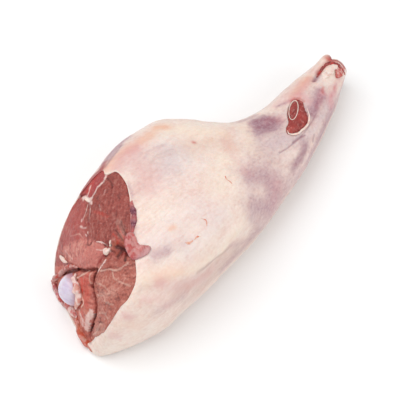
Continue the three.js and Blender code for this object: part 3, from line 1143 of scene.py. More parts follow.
STAINS: dict[Tone, tuple[Stain, ...]] = {
    # Meat that shows through thin fat, and painted shade in the near-side groove and along the near side's
    # lower edge.
    Tone.MAUVE: (
        Stain(((-70, 62, 82), (-60, 66, 80), (-38, 69, 74)), 5.5, 1.5),
        Stain(((-50, 40, 93), (-60, 28, 98), (-72, 10, 101)), 12, 0.16),
        Stain(((-116, -47, 100), (-106, -51, 99)), 5, 0.65),
        Stain(((-104, -52, 98), (-90, -56, 95)), 6, 0.2),
        Stain(((-50, 31, 96), (-41, 35, 94), (-32, 34, 92), (-23, 30, 90)), 1.6, 0.3),
        Stain(((-38, 12, 95), (-30, 22, 93)), 13, 0.24),
        # painted shadow in the groove below the ridge on the near side
        Stain(((-86, -75, 69), (-77, -76, 66), (-66, -77, 63)), 2, 0.4),
        Stain(((-48, -77, 60), (-38, -78, 48), (-22, -77, 38), (-5, -76, 37)), 4, 0.35),
        Stain(((-114, -78, 55), (-126, -77, 62), (-143, -73, 64)), 6, 0.32),
        Stain(((14, -46, 74), (25, -52, 68), (26, -64, 57), (14, -71, 48), (-4, -68, 64)), 13, 0.88),
        Stain(((50, -32, 65), (90, -36, 58), (130, -24, 54)), 20, 0.52),
        Stain(((-10, -77, 48), (25, -70, 44), (55, -62, 44)), 10, 0.45),
        Stain(((68, -3, 61), (64, -12, 64), (78, -18, 61), (78, -6, 60)), 7, 1.5),
        Stain(((61, -12, 64), (55, -19, 66)), 4, 0.5),
        Stain(((76, 6, 55), (62, 10, 55)), 5, 0.7),
        Stain(((141, -23, 54), (130, -28, 55), (118, -32, 55)), 5.4, 1.3),
        Stain(((87, -51, 50), (78, -55, 50), (62, -59, 50)), 6),
        # painted shade along the shank's lower edge, over meat showing through
        Stain(((150, -36, 40), (128, -44, 41), (104, -53, 39), (80, -59, 38)), 3.5, 0.7),
        Stain(((100, -2, 55), (110, -7, 56), (114, -9, 56)), 1.8, 0.8),
        # these two: painted shade along the near side's lower edge, over meat showing through
        Stain(((60, -62, 36), (95, -54, 36), (130, -42, 38), (150, -36, 36), (184, -24, 30)), 6, 0.7),
        Stain(((-60, -78, 32), (0, -74, 34), (60, -62, 34)), 7, 0.5),
        Stain(((150, -11, 54), (157, -9, 53)), 3, 0.6),
        Stain(((-134, -36, 96), (-146, -50, 88), (-158, -58, 76), (-172, -60, 56)), 1.6, 0.6),
        Stain(((-82, 20, 102), (-86, 12, 103), (-90, 7, 104)), 1.8, 0.5),
        Stain(((-20, 74, 52), (-60, 79, 46), (-100, 74, 40)), 13, 0.32),
        Stain(((84, 14, 42), (130, 10, 40), (168, 8, 36)), 6, 0.5),
    ),
    # Thin dry fat over the meat, and painted shade in the near-side groove and along the thigh's lower edge.
    Tone.TAWNY: (
        Stain(((-49, 23, 97), (-41, 26, 95), (-33, 24, 93), (-23, 22, 91), (-20, 17, 90)), 1.2, 0.3),
        Stain(((-41, 21, 95), (-33, 20, 94), (-24, 18, 91), (-22, 11, 91), (-24, 4, 92)), 1.3, 0.22),
        Stain(((-50, 22, 97), (-58, 15, 99), (-67, 5, 101), (-72, -5, 101)), 1.2, 0.16),
        # painted shadow in the groove below the ridge on the near side
        Stain(((-92, -75, 70), (-77, -76, 65), (-63, -77, 60), (-50, -77, 58)), 3.2, 0.75),
        Stain(((-116, -77, 68), (-105, -78, 58), (-70, -78, 52), (-35, -78, 48)), 10, 0.35),
        # painted shade along the thigh's lower edge, over thin fat
        Stain(((-110, -78, 40), (-60, -78, 36), (-10, -78, 36)), 10, 0.4),
        Stain(((-8, 14, 86), (10, 6, 82), (24, -6, 77)), 13, 0.22),
        Stain(((86, -52, 50), (78, -55, 50), (69, -58, 50), (60, -60, 50)), 3.6, 0.85),
        Stain(((-70, 80, 26), (-20, 76, 30), (20, 56, 34)), 8, 0.45),
    ),
    # Filled veins, the dark middles of the mauve patches, and painted shade along the rump's upper rim and
    # the shank's lower edge.
    Tone.PLUM: (
        Stain(((-73, 64, 80), (-60, 67, 78), (-48, 69, 75)), 2.6, 0.55),
        # painted shadow line between the mauve rim and the cream skin
        Stain(((-78, 54, 90), (-72, 56, 90), (-66, 58, 87), (-57, 61, 85), (-49, 64, 81)), 1.6, 0.75),
        Stain(((70, -3, 60), (78, -6, 59), (83, -13, 60), (74, -14, 62), (66, -9, 62)), 6, 0.8),
        Stain(((136, -27, 54), (128, -30, 54), (119, -33, 54)), 3.4, 0.6),
        Stain(((120, -36, 53), (111, -39, 53), (103, -41, 54), (95, -43, 55)), 0.9, 0.6),
        Stain(((86, -53, 49), (70, -58, 48)), 2.6, 0.35),
        Stain(((57, -43, 63), (66, -44, 60), (76, -44, 58), (86, -44, 56), (93, -43, 55)), 0.8, 0.7),
        Stain(((77, -43, 58), (86, -43, 56), (94, -45, 54)), 1.1, 0.65),
        Stain(((103, -49, 47), (98, -52, 45)), 1.8, 0.6),
        # painted shade along the shank's lower edge
        Stain(((150, -38, 36), (120, -48, 36), (90, -57, 34)), 2.5, 0.5),
        Stain(((148, -9, 54), (155, -7, 53), (161, -5, 52)), 2.4, 0.85),
    ),
    # Thick fat over red meat.
    Tone.PEACH: (
        Stain(((-80, 52, 91), (-69, 55, 90), (-58, 54, 90), (-43, 50, 91), (-24, 50, 86)), 7, 0.75),
        Stain(((-10, 53, 79), (-5, 49, 80)), 5.5, 0.95),
        Stain(((30, 2, 72), (22, -8, 77)), 8, 0.3),
        Stain(((-126, -60, 92), (-108, -68, 85)), 6, 0.3),
        Stain(((-6, 16, 86), (12, 8, 82)), 11, 0.22),
        Stain(((-172, -60, 60), (-160, -66, 52)), 9, 0.25),
        Stain(((146, -3, 53), (136, -4, 54), (126, -6, 55)), 6, 0.95),
        Stain(((118, -5, 56), (126, -8, 55)), 4, 0.6),
        Stain(((10, 62, 58), (36, 38, 54)), 10, 0.3),
        Stain(((-89, -39, 101), (-85, -40, 100)), 2.4, 0.8),
    ),
    # Pink fat.
    Tone.BLUSH: (
        Stain(((-72, 44, 94), (-58, 50, 92), (-45, 47, 92)), 7, 0.55),
        Stain(((-47, 46, 92), (-60, 33, 97), (-62, 20, 99), (-74, 4, 101)), 12, 0.38),
        Stain(((24, -4, 77), (16, -22, 79), (12, -40, 76)), 6, 0.25),
        Stain(((-129, -65, 88), (-118, -74, 76), (-100, -77, 61), (-79, -78, 48)), 9, 0.32),
        Stain(((-131, -64, 89), (-127, -66, 87)), 4, 0.4),
        Stain(((-149, -64, 82), (-144, -67, 79)), 5, 0.3),
        Stain(((-137, -68, 76), (-132, -74, 62)), 5, 0.4),
        Stain(((30, -62, 54), (20, -70, 46)), 8, 0.3),
        Stain(((-170, -59, 73), (-166, -62, 70)), 4.5, 0.6),
        Stain(((-184, -55, 50), (-180, -60, 46)), 5, 0.45),
        Stain(((79, -8, 60), (87, -16, 60)), 5.5, 0.7),
        Stain(((100, 2, 55), (118, 2, 54), (136, 2, 52)), 6, 0.3),
        Stain(((141, -24, 53), (133, -28, 53), (126, -31, 54)), 2.4, 0.75),
        Stain(((146, -5, 53), (134, -7, 55), (124, -9, 56)), 4.5, 0.55),
        Stain(((112, -8, 56), (120, -8, 56), (125, -14, 55), (124, -22, 55)), 4.5, 0.65),
        Stain(((163, -25, 46), (156, -29, 46), (146, -31, 48), (143, -36, 43)), 4.5, 0.85),
        Stain(((170, -22, 44), (176, -20, 44)), 4, 0.6),
        Stain(((155, 0, 52), (170, 4, 48)), 3, 0.35),
        Stain(((-112, 70, 56), (-66, 78, 60)), 9, 0.3),
    ),
    # Drops and smears.
    Tone.BLOOD: (
        Stain(((113, -9, 56), (118, -9.5, 56), (121, -14, 56), (121, -19, 56)), 1.6, 0.6),
        Stain(((147, -21, 53), (143, -24, 53)), 1.6, 0.6),
        Stain(((160, -27, 47), (157, -27, 47)), 1.8, 0.4),
        Stain(((150, -31, 48), (148, -32, 48)), 1.6, 0.3),
        Stain(((180, 1, 49), (185, -6, 47), (187, -11, 45), (188, -15, 41)), 3, 1.1),
        Stain(((175, -18, 47), (180, -15, 46), (183, -19, 43)), 3.6, 0.9),
        Stain(((158, -6, 53), (166, -4, 51), (174, -3, 50), (182, -5, 47)), 2.6, 0.9),
        Stain(((0, 16, 84), (1, 15, 84)), 1.4, 0.75),
    ),
    # Bare meat along the rims.
    Tone.RAW: (
        Stain(
            ((-74, 61, 84), (-79, 58, 87), (-84, 56, 88), (-91, 57, 85), (-99, 58, 81), (-108, 58, 77)),
            3.2, 2.2,
        ),
        Stain(
            ((-98, 3, 104), (-107, -6, 103), (-110, -10, 103), (-113, -14, 103), (-130, -26, 98)), 3.6,
        ),
    ),
    # Where the membrane has dried to a bluish white.
    Tone.FROST: (
        Stain(((-36, 10, 95), (-26, 17, 92)), 18, 0.8),
        Stain(((-112, -38, 101), (-92, -44, 98), (-72, -40, 98), (-50, -44, 94)), 15, 0.4),
        Stain(((-95, -62, 90), (-67, -61, 89), (-40, -58, 88)), 9, 0.4),
        Stain(((56, -30, 64), (68, -34, 62), (84, -42, 58)), 8, 0.75),
        Stain(((152, -31, 47), (128, -40, 49), (108, -46, 49), (90, -47, 53)), 4, 0.75),
        Stain(((56, 24, 54), (100, 14, 48)), 7, 0.5),
    ),
    # The thickest fat.
    Tone.CREAM: (
        Stain(((-10, 42, 82), (5, 34, 80), (17, 21, 77), (30, 12, 73)), 9, 0.9),
        Stain(((-24, -39, 88), (-8, -30, 84), (6, -22, 80)), 14, 0.5),
        Stain(((54, 4, 66), (48, -8, 69), (42, -20, 71), (38, -30, 72)), 6.5, 0.8),
        Stain(
            ((-138, -54, 94), (-121, -64, 90), (-97, -73, 78), (-64, -77, 66), (-23, -74, 68)), 6.5, 0.9,
        ),
        Stain(((163, -13, 52), (173, -11, 50), (178, -16, 46)), 6),
    ),
}


@dataclass(frozen=True)
class FatCover:
    """The fat cover, from the bed of the rump's lean out over the lip and along the leg to the hock.

    One closed grid: its columns run round the leg and its rows from the middle of the bed to the
    middle of the hock cut. The relief starts at a distance from the wall round the bed, and ends
    some rows before the middle of the hock cut.
    """

    around: int = 344
    rows: int = 240
    crowding: float = 0.25
    bed_depth: float = 9.0
    bed_shares: Row = (0.35, 0.7, 0.96)
    lowest_bed: float = 2.0
    bed_below: float = -1.0
    wall_heights: Row = (-8.0, -5.0, -2.5, -1.2, -0.4)
    lip_height: float = 0.1
    lip_shares: Row = (0.4, 1.0)
    lip_rows: int = 10
    relief_from: Pair = (1.0, 12.0)
    relief_end_rows: tuple[int, int] = (7, 14)
    cut_fat_width: Pair = (1.9, 0.6)
    cut_fat_waver: float = 0.8
    broad_waver: tuple[float, float, int] = (0.4, 14.0, 11)
    fine_waver: tuple[float, float, int] = (0.15, 3.0, 12)
    frost_worn: float = 0.25
    hock_rounding: float = 2.5
    hock_turn: Row = (0.2, 0.4, 0.6, 0.8, 1.0)
    hock_rows: int = 15
    hock_torn: float = 0.9
    hock_torn_size: float = 6.0
    hock_sunk: float = 1.2
    raw_depth: Pair = (-3.0, -1.4)
    raw_reach: Pair = (17.0, 11.5)
    raw_flatness: float = 0.8
    raw_waver: float = 2.0

    def build(self) -> None:
        """Makes the cover with its relief and its stains."""
        angle = 2 * np.pi * np.arange(self.around) / self.around
        start, end = RUMP.meeting(FORM, angle), HOCK.meeting(FORM, angle)
        rump, wall = self.rump_rings(angle, start)
        skin = self.skin_rings(angle, start, end)
        smooth = np.concatenate([rump, skin, self.hock_rings(angle, end)])
        from_wall = np.linalg.norm(smooth - smooth[wall], axis=-1)
        number = np.arange(len(smooth))[:, None]
        shown = (number > wall) * smooth_step(*self.relief_end_rows, number[::-1])
        raised = RELIEF.raised(smooth) * smooth_step(*self.relief_from, from_wall) * shown
        rings = smooth + grid_normals(smooth) * raised[..., None]
        rings[..., 2] = np.maximum(rings[..., 2], 0.0)
        first, last = RUMP.place(*RUMP_MIDDLE[:, None], -self.bed_depth)[0], np.array(HOCK.origin)
        shell = closed_shell(rings, first, last)
        points = np.concatenate([first[None], smooth.reshape(-1, 3), last[None]])
        cut_fat = smooth_step(
            *self.cut_fat_width, from_wall + self.cut_fat_waver * value_noise(smooth, 3.0, 14)
        )
        cut_fat[:wall + 1] = 1.0
        shell.marks = self.stains(points)
        shell.marks["cut_fat"] = np.concatenate([[0.0], cut_fat.ravel(), [0.0]])
        shell.marks["raw"] = np.maximum(shell.marks["raw"], self.rawness(points))
        make_piece("fat_cover", shell, FAT)

    def rump_rings(self, angle: Array, start: Array) -> tuple[Array, int]:
        """The bed of the lean, the wall round it and the rounded lip.

        Args:
            angle: the directions round the leg's section.
            start: the x at which the cut meets the skin in each.

        Returns:
            The rings of points, and which of them is the top of the wall.
        """
        rim = FORM.skin(start, angle)
        across, down, _ = RUMP.locate(rim)
        distance, fat, rounding = EDGE.measure(across, down)
        border, inner = 1.0 - fat / distance, 1.0 - rounding / distance
        places = [(border * share, -self.bed_depth) for share in self.bed_shares]
        places += [(border, height) for height in self.wall_heights]
        wall = len(places) - 1
        places += [(mix(border, inner, share), self.lip_height) for share in self.lip_shares]
        rings = [self.face_ring(across, down, share, raised) for share, raised in places]
        rings += turned_over(rings[-1], rim, FORM.skin(start + rounding, angle),
                             np.linspace(0, 1, self.lip_rows)[1:-1])
        return np.stack(rings), wall

    def face_ring(self, across: Array, down: Array, share: Array, raised: float) -> Array:
        """A ring of the rump cut, kept above the bed's lowest height.

        Args:
            across: how far across each point of the rim is.
            down: how far down it is.
            share: how much of the way from the middle to the rim the ring lies.
            raised: how far it is raised above the cut.

        Returns:
            The ring's points.
        """
        points = RUMP.place(mix(RUMP_MIDDLE[0], across, share), mix(RUMP_MIDDLE[1], down, share), raised)
        if raised < self.bed_below:
            points[..., 2] = np.maximum(points[..., 2], self.lowest_bed)
        return points

    def skin_rings(self, angle: Array, start: Array, end: Array) -> Array:
        """The skin's rings, which crowd towards the slender shank as share * (1 + c * (1 - share)).

        Args:
            angle: the directions round the leg's section.
            start: the x at which the rump cut meets the skin in each.
            end: the x at which the hock cut does.

        Returns:
            The rings.
        """
        across, down, _ = RUMP.locate(FORM.skin(start, angle))
        _, _, rounding = EDGE.measure(across, down)
        even = np.linspace(0, 1, self.rows)[:, None]
        share = even * (1 + self.crowding * (1 - even))
        x = mix(start + rounding, end - self.hock_rounding, share)
        return FORM.skin(x, np.broadcast_to(angle, x.shape))

    def hock_rings(self, angle: Array, end: Array) -> Array:
        """The rounded rim at the hock and the face of its cut, with torn flesh between the tendons.

        Args:
            angle: the directions round the leg's section.
            end: the x at which the hock cut meets the skin in each.

        Returns:
            The rings.
        """
        rim = FORM.skin(end, angle)
        u, v, _ = HOCK.locate(rim)
        inner = 1.0 - self.hock_rounding / np.hypot(u, v)
        edge = HOCK.place(u * inner, v * inner)
        rings = turned_over(FORM.skin(end - self.hock_rounding, angle), rim, edge, self.hock_turn)
        for share in np.linspace(1, 0, self.hock_rows)[1:-1]:
            flat = HOCK.place(u * inner * share, v * inner * share)
            torn = self.hock_torn * layered_noise(flat, self.hock_torn_size, 31)
            torn = torn * smooth_step(0, 0.3, 1 - share)
            sunk = self.hock_sunk * smooth_step(0.0, 0.25, 1 - share)
            rings.append(flat + HOCK.axes()[2] * (torn - sunk)[:, None])
        return np.stack(rings)

    def stains(self, points: Array) -> dict[str, Array]:
        """How strongly each tone stains each point.

        A stain is a bell across its line, whose width wavers with noise, and stains of a tone add
        as 1 - (1 - a)(1 - b). The frost is worn off a little along the arcs of fibre.

        Args:
            points: places on the smooth form, as (count, 3).

        Returns:
            The strengths, from 0 to 1, by the tone's name.
        """
        (broad, *broad_noise), (fine, *fine_noise) = self.broad_waver, self.fine_waver
        waver = 1.0 + broad * layered_noise(points, *broad_noise) + fine * value_noise(points, *fine_noise)
        marks = {}
        for tone, stains in STAINS.items():
            clear = np.ones(len(points))
            for stain in stains:
                distance, _ = distance_to(points, stain.line)
                clear *= np.maximum(1.0 - stain.strength * hill(distance * waver, stain.width), 0.0)
            if tone is Tone.FROST:
                clear *= 1.0 - self.frost_worn * smooth_step(0.05, 0.5, RELIEF.arcs(points))
            marks[tone.value] = 1.0 - clear
        return marks

    def rawness(self, points: Array) -> Array:
        """How raw the open flesh of the hock cut is, over an edge that noise tears.

        Args:
            points: places on the smooth form, as (count, 3).

        Returns:
            1 for each point on the flesh, 0 on its fat and elsewhere.
        """
        u, v, out = HOCK.locate(points)
        reach = np.hypot(u, self.raw_flatness * v) + self.raw_waver * layered_noise(points, 5.0, 41)
        return smooth_step(*self.raw_depth, out) * smooth_step(*self.raw_reach, reach)


def turned_over(start: Array, edge: Array, end: Array, shares: Iterable[float]) -> list[Array]:
    """Rings that turn over an edge, along the quadratic curve from a start past the edge to an end.

    Args:
        start: the ring before the edge.
        edge: the ring on the edge, which the curve leans to.
        end: the ring after it.
        shares: how much of the way each ring lies.

    Returns:
        The rings.
    """
    return [mix(mix(start, edge, share), mix(edge, end, share), share) for share in shares]


# ---- the rump's lean


class Tissue(Enum):
    """What is laid on the lean, named as its finish names them. The crevice shade is painted shade, and some
    blood strokes are painted shade too.
    """

    SINEW = "sinew"
    CREAM = "cream"
    BLOOD = "blood"
    RED = "red"
    AMBER = "amber"
    DARK = "dark"


@dataclass(frozen=True)
class Stroke:
    """Tissue along a line of the cut: its half width, and how far it stands above or below the lean."""

    line: Line
    width: float
    strength: float
    rise: float = 0.0

    def distance(self, places: Array) -> Array:
        """How far each (across, down) place is from the smooth line through the stroke's corners."""
        return distance_to(places, smooth_line(self.line, 4 * len(self.line)))[0]

    def laid(self, places: Array, ragged: Array) -> Array:
        """How strongly it is laid on each place: fully within half its width, times its raggedness."""
        return self.strength * smooth_step(1.35, 0.55, self.distance(places) * ragged / self.width)


STROKES: dict[Tissue, tuple[Stroke, ...]] = {
    # Fascia between the muscles, and the knots where their fibres gather.
    Tissue.SINEW: (
        Stroke(
            ((86, -29.5), (83, -27), (79.5, -23), (78.5, -18), (76, -12.5), (73, -8), (69, -5)),
            0.8, 0.8, 0.4,
        ),
        Stroke(((85, -11), (80, -6), (76, -2)), 0.6, 0.65, 0.2),
        Stroke(((79, 0), (76, -2.5), (72, -4), (69, -5)), 1.9, 1, 0.7),
        Stroke(((75, -2), (72, -8)), 1.2, 0.8, 0.4),
        Stroke(((70, -1), (65, 4), (60, 11)), 0.55, 0.5, 0.2),
        Stroke(((69, -3), (61, -1), (55, 3)), 0.5, 0.45, 0.2),
        Stroke(((56, 15), (53, 13.5), (51, 11)), 0.9, 0.65, 0.3),
        Stroke(((61.5, 11.5), (60, 12)), 0.9, 0.7, 0.3),
        Stroke(((46, 11), (44, 11)), 0.6, 0.6, 0.2),
        Stroke(((46, 14.5), (44, 14)), 0.6, 0.6, 0.2),
        Stroke(((70, -23), (65, -20)), 0.5, 0.3),
        Stroke(((60, -12), (54, -11)), 0.5, 0.25),
        Stroke(((54, 46), (47, 45), (41, 43)), 0.6, 0.4, 0.2),
        Stroke(((30, 6), (25, 1), (20, -1)), 0.6, 0.8, 0.3),
        Stroke(((24, 10), (20, 6), (18, 3)), 0.5, 0.5, 0.2),
        Stroke(((10, 7), (9, 14), (8, 22)), 0.75, 0.95, 0.7),
        Stroke(((17, 3), (15.5, 1.5), (15, -0.5)), 2, 1, 1.4),
        Stroke(((17, -4), (20, -7)), 0.8, 0.8, 0.6),
        Stroke(((-11, 55), (-12, 61), (-12.5, 68), (-13.5, 75)), 2.6, 0.85, 0.9),
        Stroke(((-3, 67), (-7, 71), (-8, 77)), 1.4, 0.6, 0.5),
    ),
    # Strings of fat.
    Tissue.CREAM: (
        Stroke(((58, 31), (54, 25), (51, 20), (46, 19)), 0.5, 0.35),
        Stroke(((27, 53), (21, 45), (18, 37), (17, 32)), 0.9, 0.85, 1),
        Stroke(((14, 53), (11, 52), (5, 54), (0, 54), (0, 60)), 0.9, 0.8, 1),
        Stroke(((13, 29), (11, 34), (7, 37)), 0.7, 0.5, 0.6),
        Stroke(((1, 66), (-3, 71), (-5, 77)), 0.8, 0.5, 0.5),
        Stroke(((6, 18), (0, 8), (-6, 2), (-8, -11)), 0.9, 0.5, 0.6),
        Stroke(((-5, 7), (-10, 8), (-17, 5), (-26, -1)), 0.9, 0.42, 0.5),
        Stroke(((-7, 36), (-14, 28), (-20, 29), (-27, 24)), 0.9, 0.4, 0.4),
        Stroke(((2, 29), (-8, 22), (-16, 20)), 0.8, 0.35, 0.4),
        Stroke(((-19, 46), (-26, 38), (-31, 39)), 0.9, 0.4, 0.4),
        Stroke(((-10, 30), (-16, 24), (-22, 17)), 3, 0.16),
        Stroke(((-26, 60), (-31, 57), (-33, 50)), 3.5, 0.24),
        Stroke(((31, -21), (22, -21), (17, -17)), 3, 0.2),
        Stroke(((-24, 71), (-28, 61), (-27, 51)), 0.9, 0.4, 0.4),
        Stroke(((-30, 66), (-34, 57), (-33, 47)), 0.8, 0.3, 0.3),
    ),
    # Seeping blood, and painted shade along the crevice and beside the knob's seam.
    Tissue.BLOOD: (
        Stroke(((57, 10), (56, 10)), 0.9, 0.9, -0.3),
        Stroke(((52.5, 6), (51, 5.5)), 0.9, 0.9, -0.3),
        # painted shade, darker red beside the knob's seam
        Stroke(((8, 12), (0, 0), (-5, -10)), 7, 0.32),
        Stroke(((15.5, 7), (15, 12), (14, 19)), 1.3, 0.85, -0.9),
        Stroke(((5, -9), (2, -12), (0, -18)), 1.5, 0.7),
        Stroke(((14, 47), (11, 49)), 1, 0.6),
        # painted soft shade along the crevice
        Stroke(
            (
                (11, 24), (8, 31), (4, 38), (-3, 42), (-10, 46),
                (-15.5, 54), (-18, 65), (-18, 76), (-22, 81),
            ),
            1.5, 0.7,
        ),
    ),
    # Fresh meat.
    Tissue.RED: (
        Stroke(((58, -5), (51, -10), (43, -15)), 1.5, 0.35),
        Stroke(((92, -20), (86, -13), (82, -6)), 2.6, 0.4),
        Stroke(((25, -12), (19, -13), (14, -13)), 0.9, 0.5, 0.4),
        Stroke(((28, -19), (21, -19), (15, -19)), 0.9, 0.5, 0.4),
        Stroke(((14, -10), (16, -15)), 1.2, 0.6),
        Stroke(((17, 42), (12, 45), (9, 49)), 2, 0.75, 0.6),
        Stroke(((9, 57), (8, 63), (7, 70)), 1.7, 0.8, 0.5),
        Stroke(((15, 34), (10, 41), (3, 48), (-4, 55)), 2.4, 0.4, 0.5),
        Stroke(((2, 62), (-4, 66), (-7, 73)), 1.6, 0.5, 0.4),
    ),
    # Fat soaked with juice.
    Tissue.AMBER: (
        Stroke(((14, -5), (15, -11), (14, -15)), 2.8, 0.35, 0.3),
        Stroke(((12, -6), (8, -5)), 2.2, 0.35),
        Stroke(((3, -18), (8, -17), (12, -15)), 1.4, 0.5),
        Stroke(((-1, 59), (-7, 58), (-12, 58)), 2.6, 0.45),
        Stroke(((-27, 76), (-32, 68), (-37, 58)), 4.5, 0.3),
    ),
    # Crevices, where the lean dips, painted dark as their shade.
    Tissue.DARK: (
        Stroke(((86, 8), (84, 3), (82, -2)), 1.1, 0.75, -0.9),
        Stroke(((81, -28), (73, -30), (67, -29)), 0.8, 0.7, -0.8),
        Stroke(((44, 13), (39, 16), (35, 17), (34, 14), (35, 11)), 0.7, 0.6, -0.5),
        Stroke(((56, -31), (53, -31)), 0.8, 0.5, -0.4),
        Stroke(((36, 49), (27, 42), (17, 31), (11, 22)), 1.1, 0.7, -2.6),
        Stroke(((26, -15.5), (20, -16), (14, -16.5)), 0.8, 0.6, -0.7),
        Stroke(((30, -23), (23, -22), (14, -22)), 0.8, 0.6, -0.7),
        Stroke(((21.4, 0.6), (20.5, -0.8)), 1.1, 1, -1.2),
        Stroke(((18, -3.4), (17, -5)), 1, 0.95, -1),
        Stroke(((13, 5), (14, 7)), 0.8, 0.7, -0.8),
        Stroke(((13, -9), (8, -12), (4, -14), (-2, -15)), 1.9, 1, -2.4),
        Stroke(((9, -12), (6, -7), (5, -4)), 1.5, 0.95, -1.8),
        Stroke(((3, -14), (0, -11), (-3, -9)), 1.4, 0.9, -1.6),
        Stroke(((13, -2), (10, -4)), 0.9, 0.8, -0.8),
        Stroke(((49, 73), (43, 65), (38, 58), (30, 46)), 1.7, 0.85, -2.6),
        Stroke(
            (
                (11, 24), (8, 31), (4, 38), (-3, 42), (-10, 46),
                (-15.5, 54), (-18, 65), (-18, 76), (-22, 81), (-32, 82),
            ),
            0.9, 1, -4.6,
        ),
        Stroke(((5, 15), (0, 5), (-5, 0)), 0.6, 0.4, -0.8),
        Stroke(((-16, 18), (-22, 14), (-27, 15)), 0.6, 0.35, -0.8),
        Stroke(((-24, 53), (-29, 48), (-34, 50)), 0.6, 0.35, -0.8),
    ),
}

# How far the muscles' outlines waver, over what size, and half the width of their soft edges.
MUSCLE_WAVER, MUSCLE_WAVER_SIZE, MUSCLE_EDGE = 1.2, (5.0, 5.0), 1.5

# Each muscle's outline on the cut, by the colour that its finish gives it.
MUSCLES: dict[str, Line] = {
    "strip": (
        (84, -32), (81, -22), (78, -16), (75, -10), (73, -5), (80, -1), (84, 7), (89, 4), (94, -10),
        (98, -21), (99, -32),
    ),
    "rose": (
        (90, 12), (82, 1), (72, 1), (62, 8), (52, 12), (40, 14), (33, 20), (36, 34), (46, 56), (58, 74),
        (80, 40),
    ),
    "pink": ((58, 60), (37, 46), (27, 39), (18, 29), (13, 20), (14, 8), (20, 1), (32, 8), (42, 16), (56, 40)),
    "tan": (
        (12, 20), (12, 6), (6, -4), (-8, -24), (-30, -18), (-44, 20), (-48, 50), (-38, 84), (-24, 82),
        (-18, 75), (-18, 65), (-16, 54), (-11, 46), (-3, 42), (4, 38), (8, 31),
    ),
    "warm": (
        (11, 24), (17, 33), (27, 43), (37, 51), (60, 74), (62, 100), (4, 96), (-30, 96), (-18, 65),
        (-15, 54), (-9, 46), (-2, 42), (5, 38), (9, 31),
    ),
}


@dataclass(frozen=True)
class Seam:
    """A seam between two muscles on the cut: its line, and the depth and width of its valley."""

    line: Line
    points: int
    depth: float
    width: float

    def valley(self, places: Array) -> Array:
        """How deep the valley is at each (across, down) place, as a bell across the smooth line."""
        distance, _ = distance_to(places, smooth_line(self.line, self.points))
        return self.depth * hill(distance, self.width)


# The upper one, the lower one and the outer one.
SEAMS: tuple[Seam, ...] = (
    Seam(
        (
            (51, 64), (38, 53), (30, 44), (18, 31), (9, 22), (12, 14), (13, 7), (11, 2), (7, -3), (5, -11),
            (0, -19), (-5, -21),
        ),
        60, 2.6, 8,
    ),
    Seam(
        (
            (11, 24), (8, 30), (3, 38), (-4, 42), (-11, 46), (-16, 54), (-19, 65), (-19, 76), (-26, 83),
            (-31, 84),
        ),
        50, 3.2, 8,
    ),
    Seam(
        ((86, -33), (82, -27), (77, -16), (73, -7), (68, -1), (62, 7), (53, 11), (42, 12), (34, 12)),
        40, 1.2, 6,
    ),
)


@dataclass(frozen=True)
class Grain:
    """The grain of one muscle: noise of a size along and across its fibres.

    The fibres are turned from across towards down, in degrees, and bent by so many times the warp.
    """

    muscle: str
    strength: float
    size: Pair
    turn: float
    bend: float
    seed: int


GRAINS: tuple[Grain, ...] = (
    Grain("pink", 0.5, (1.8, 1.8), 0, 0, 87),
    Grain("rose", 1.0, (8.0, 2.0), 128, 1, 72),
    Grain("eye", 0.55, (2.2, 2.2), 0, 0, 73),
    Grain("eye", 0.6, (6.5, 1.6), 150, 1, 74),
    Grain("tan", 0.6, (4.5, 1.8), 70, 2, 79),
    Grain("tan", 0.5, (1.6, 1.6), 0, 0, 80),
    Grain("warm", 1.0, (5.0, 2.2), 30, 1, 81),
)

# How strongly each muscle shows the dark gaps between its bundles, their pale strands and cracks. The gaps
# and cracks are painted shade.
SHADED = {"pink": 0.25, "rose": 0.25, "eye": 0.75, "tan": 0.8, "warm": 0.5}
LIT = {"pink": 0.5, "rose": 0.25, "eye": 0.3, "tan": 0.6, "warm": 0.4}
CRACKED = {"eye": 0.55, "rose": 0.25, "tan": 0.3}
MARBLED = {"tan": 0.6}


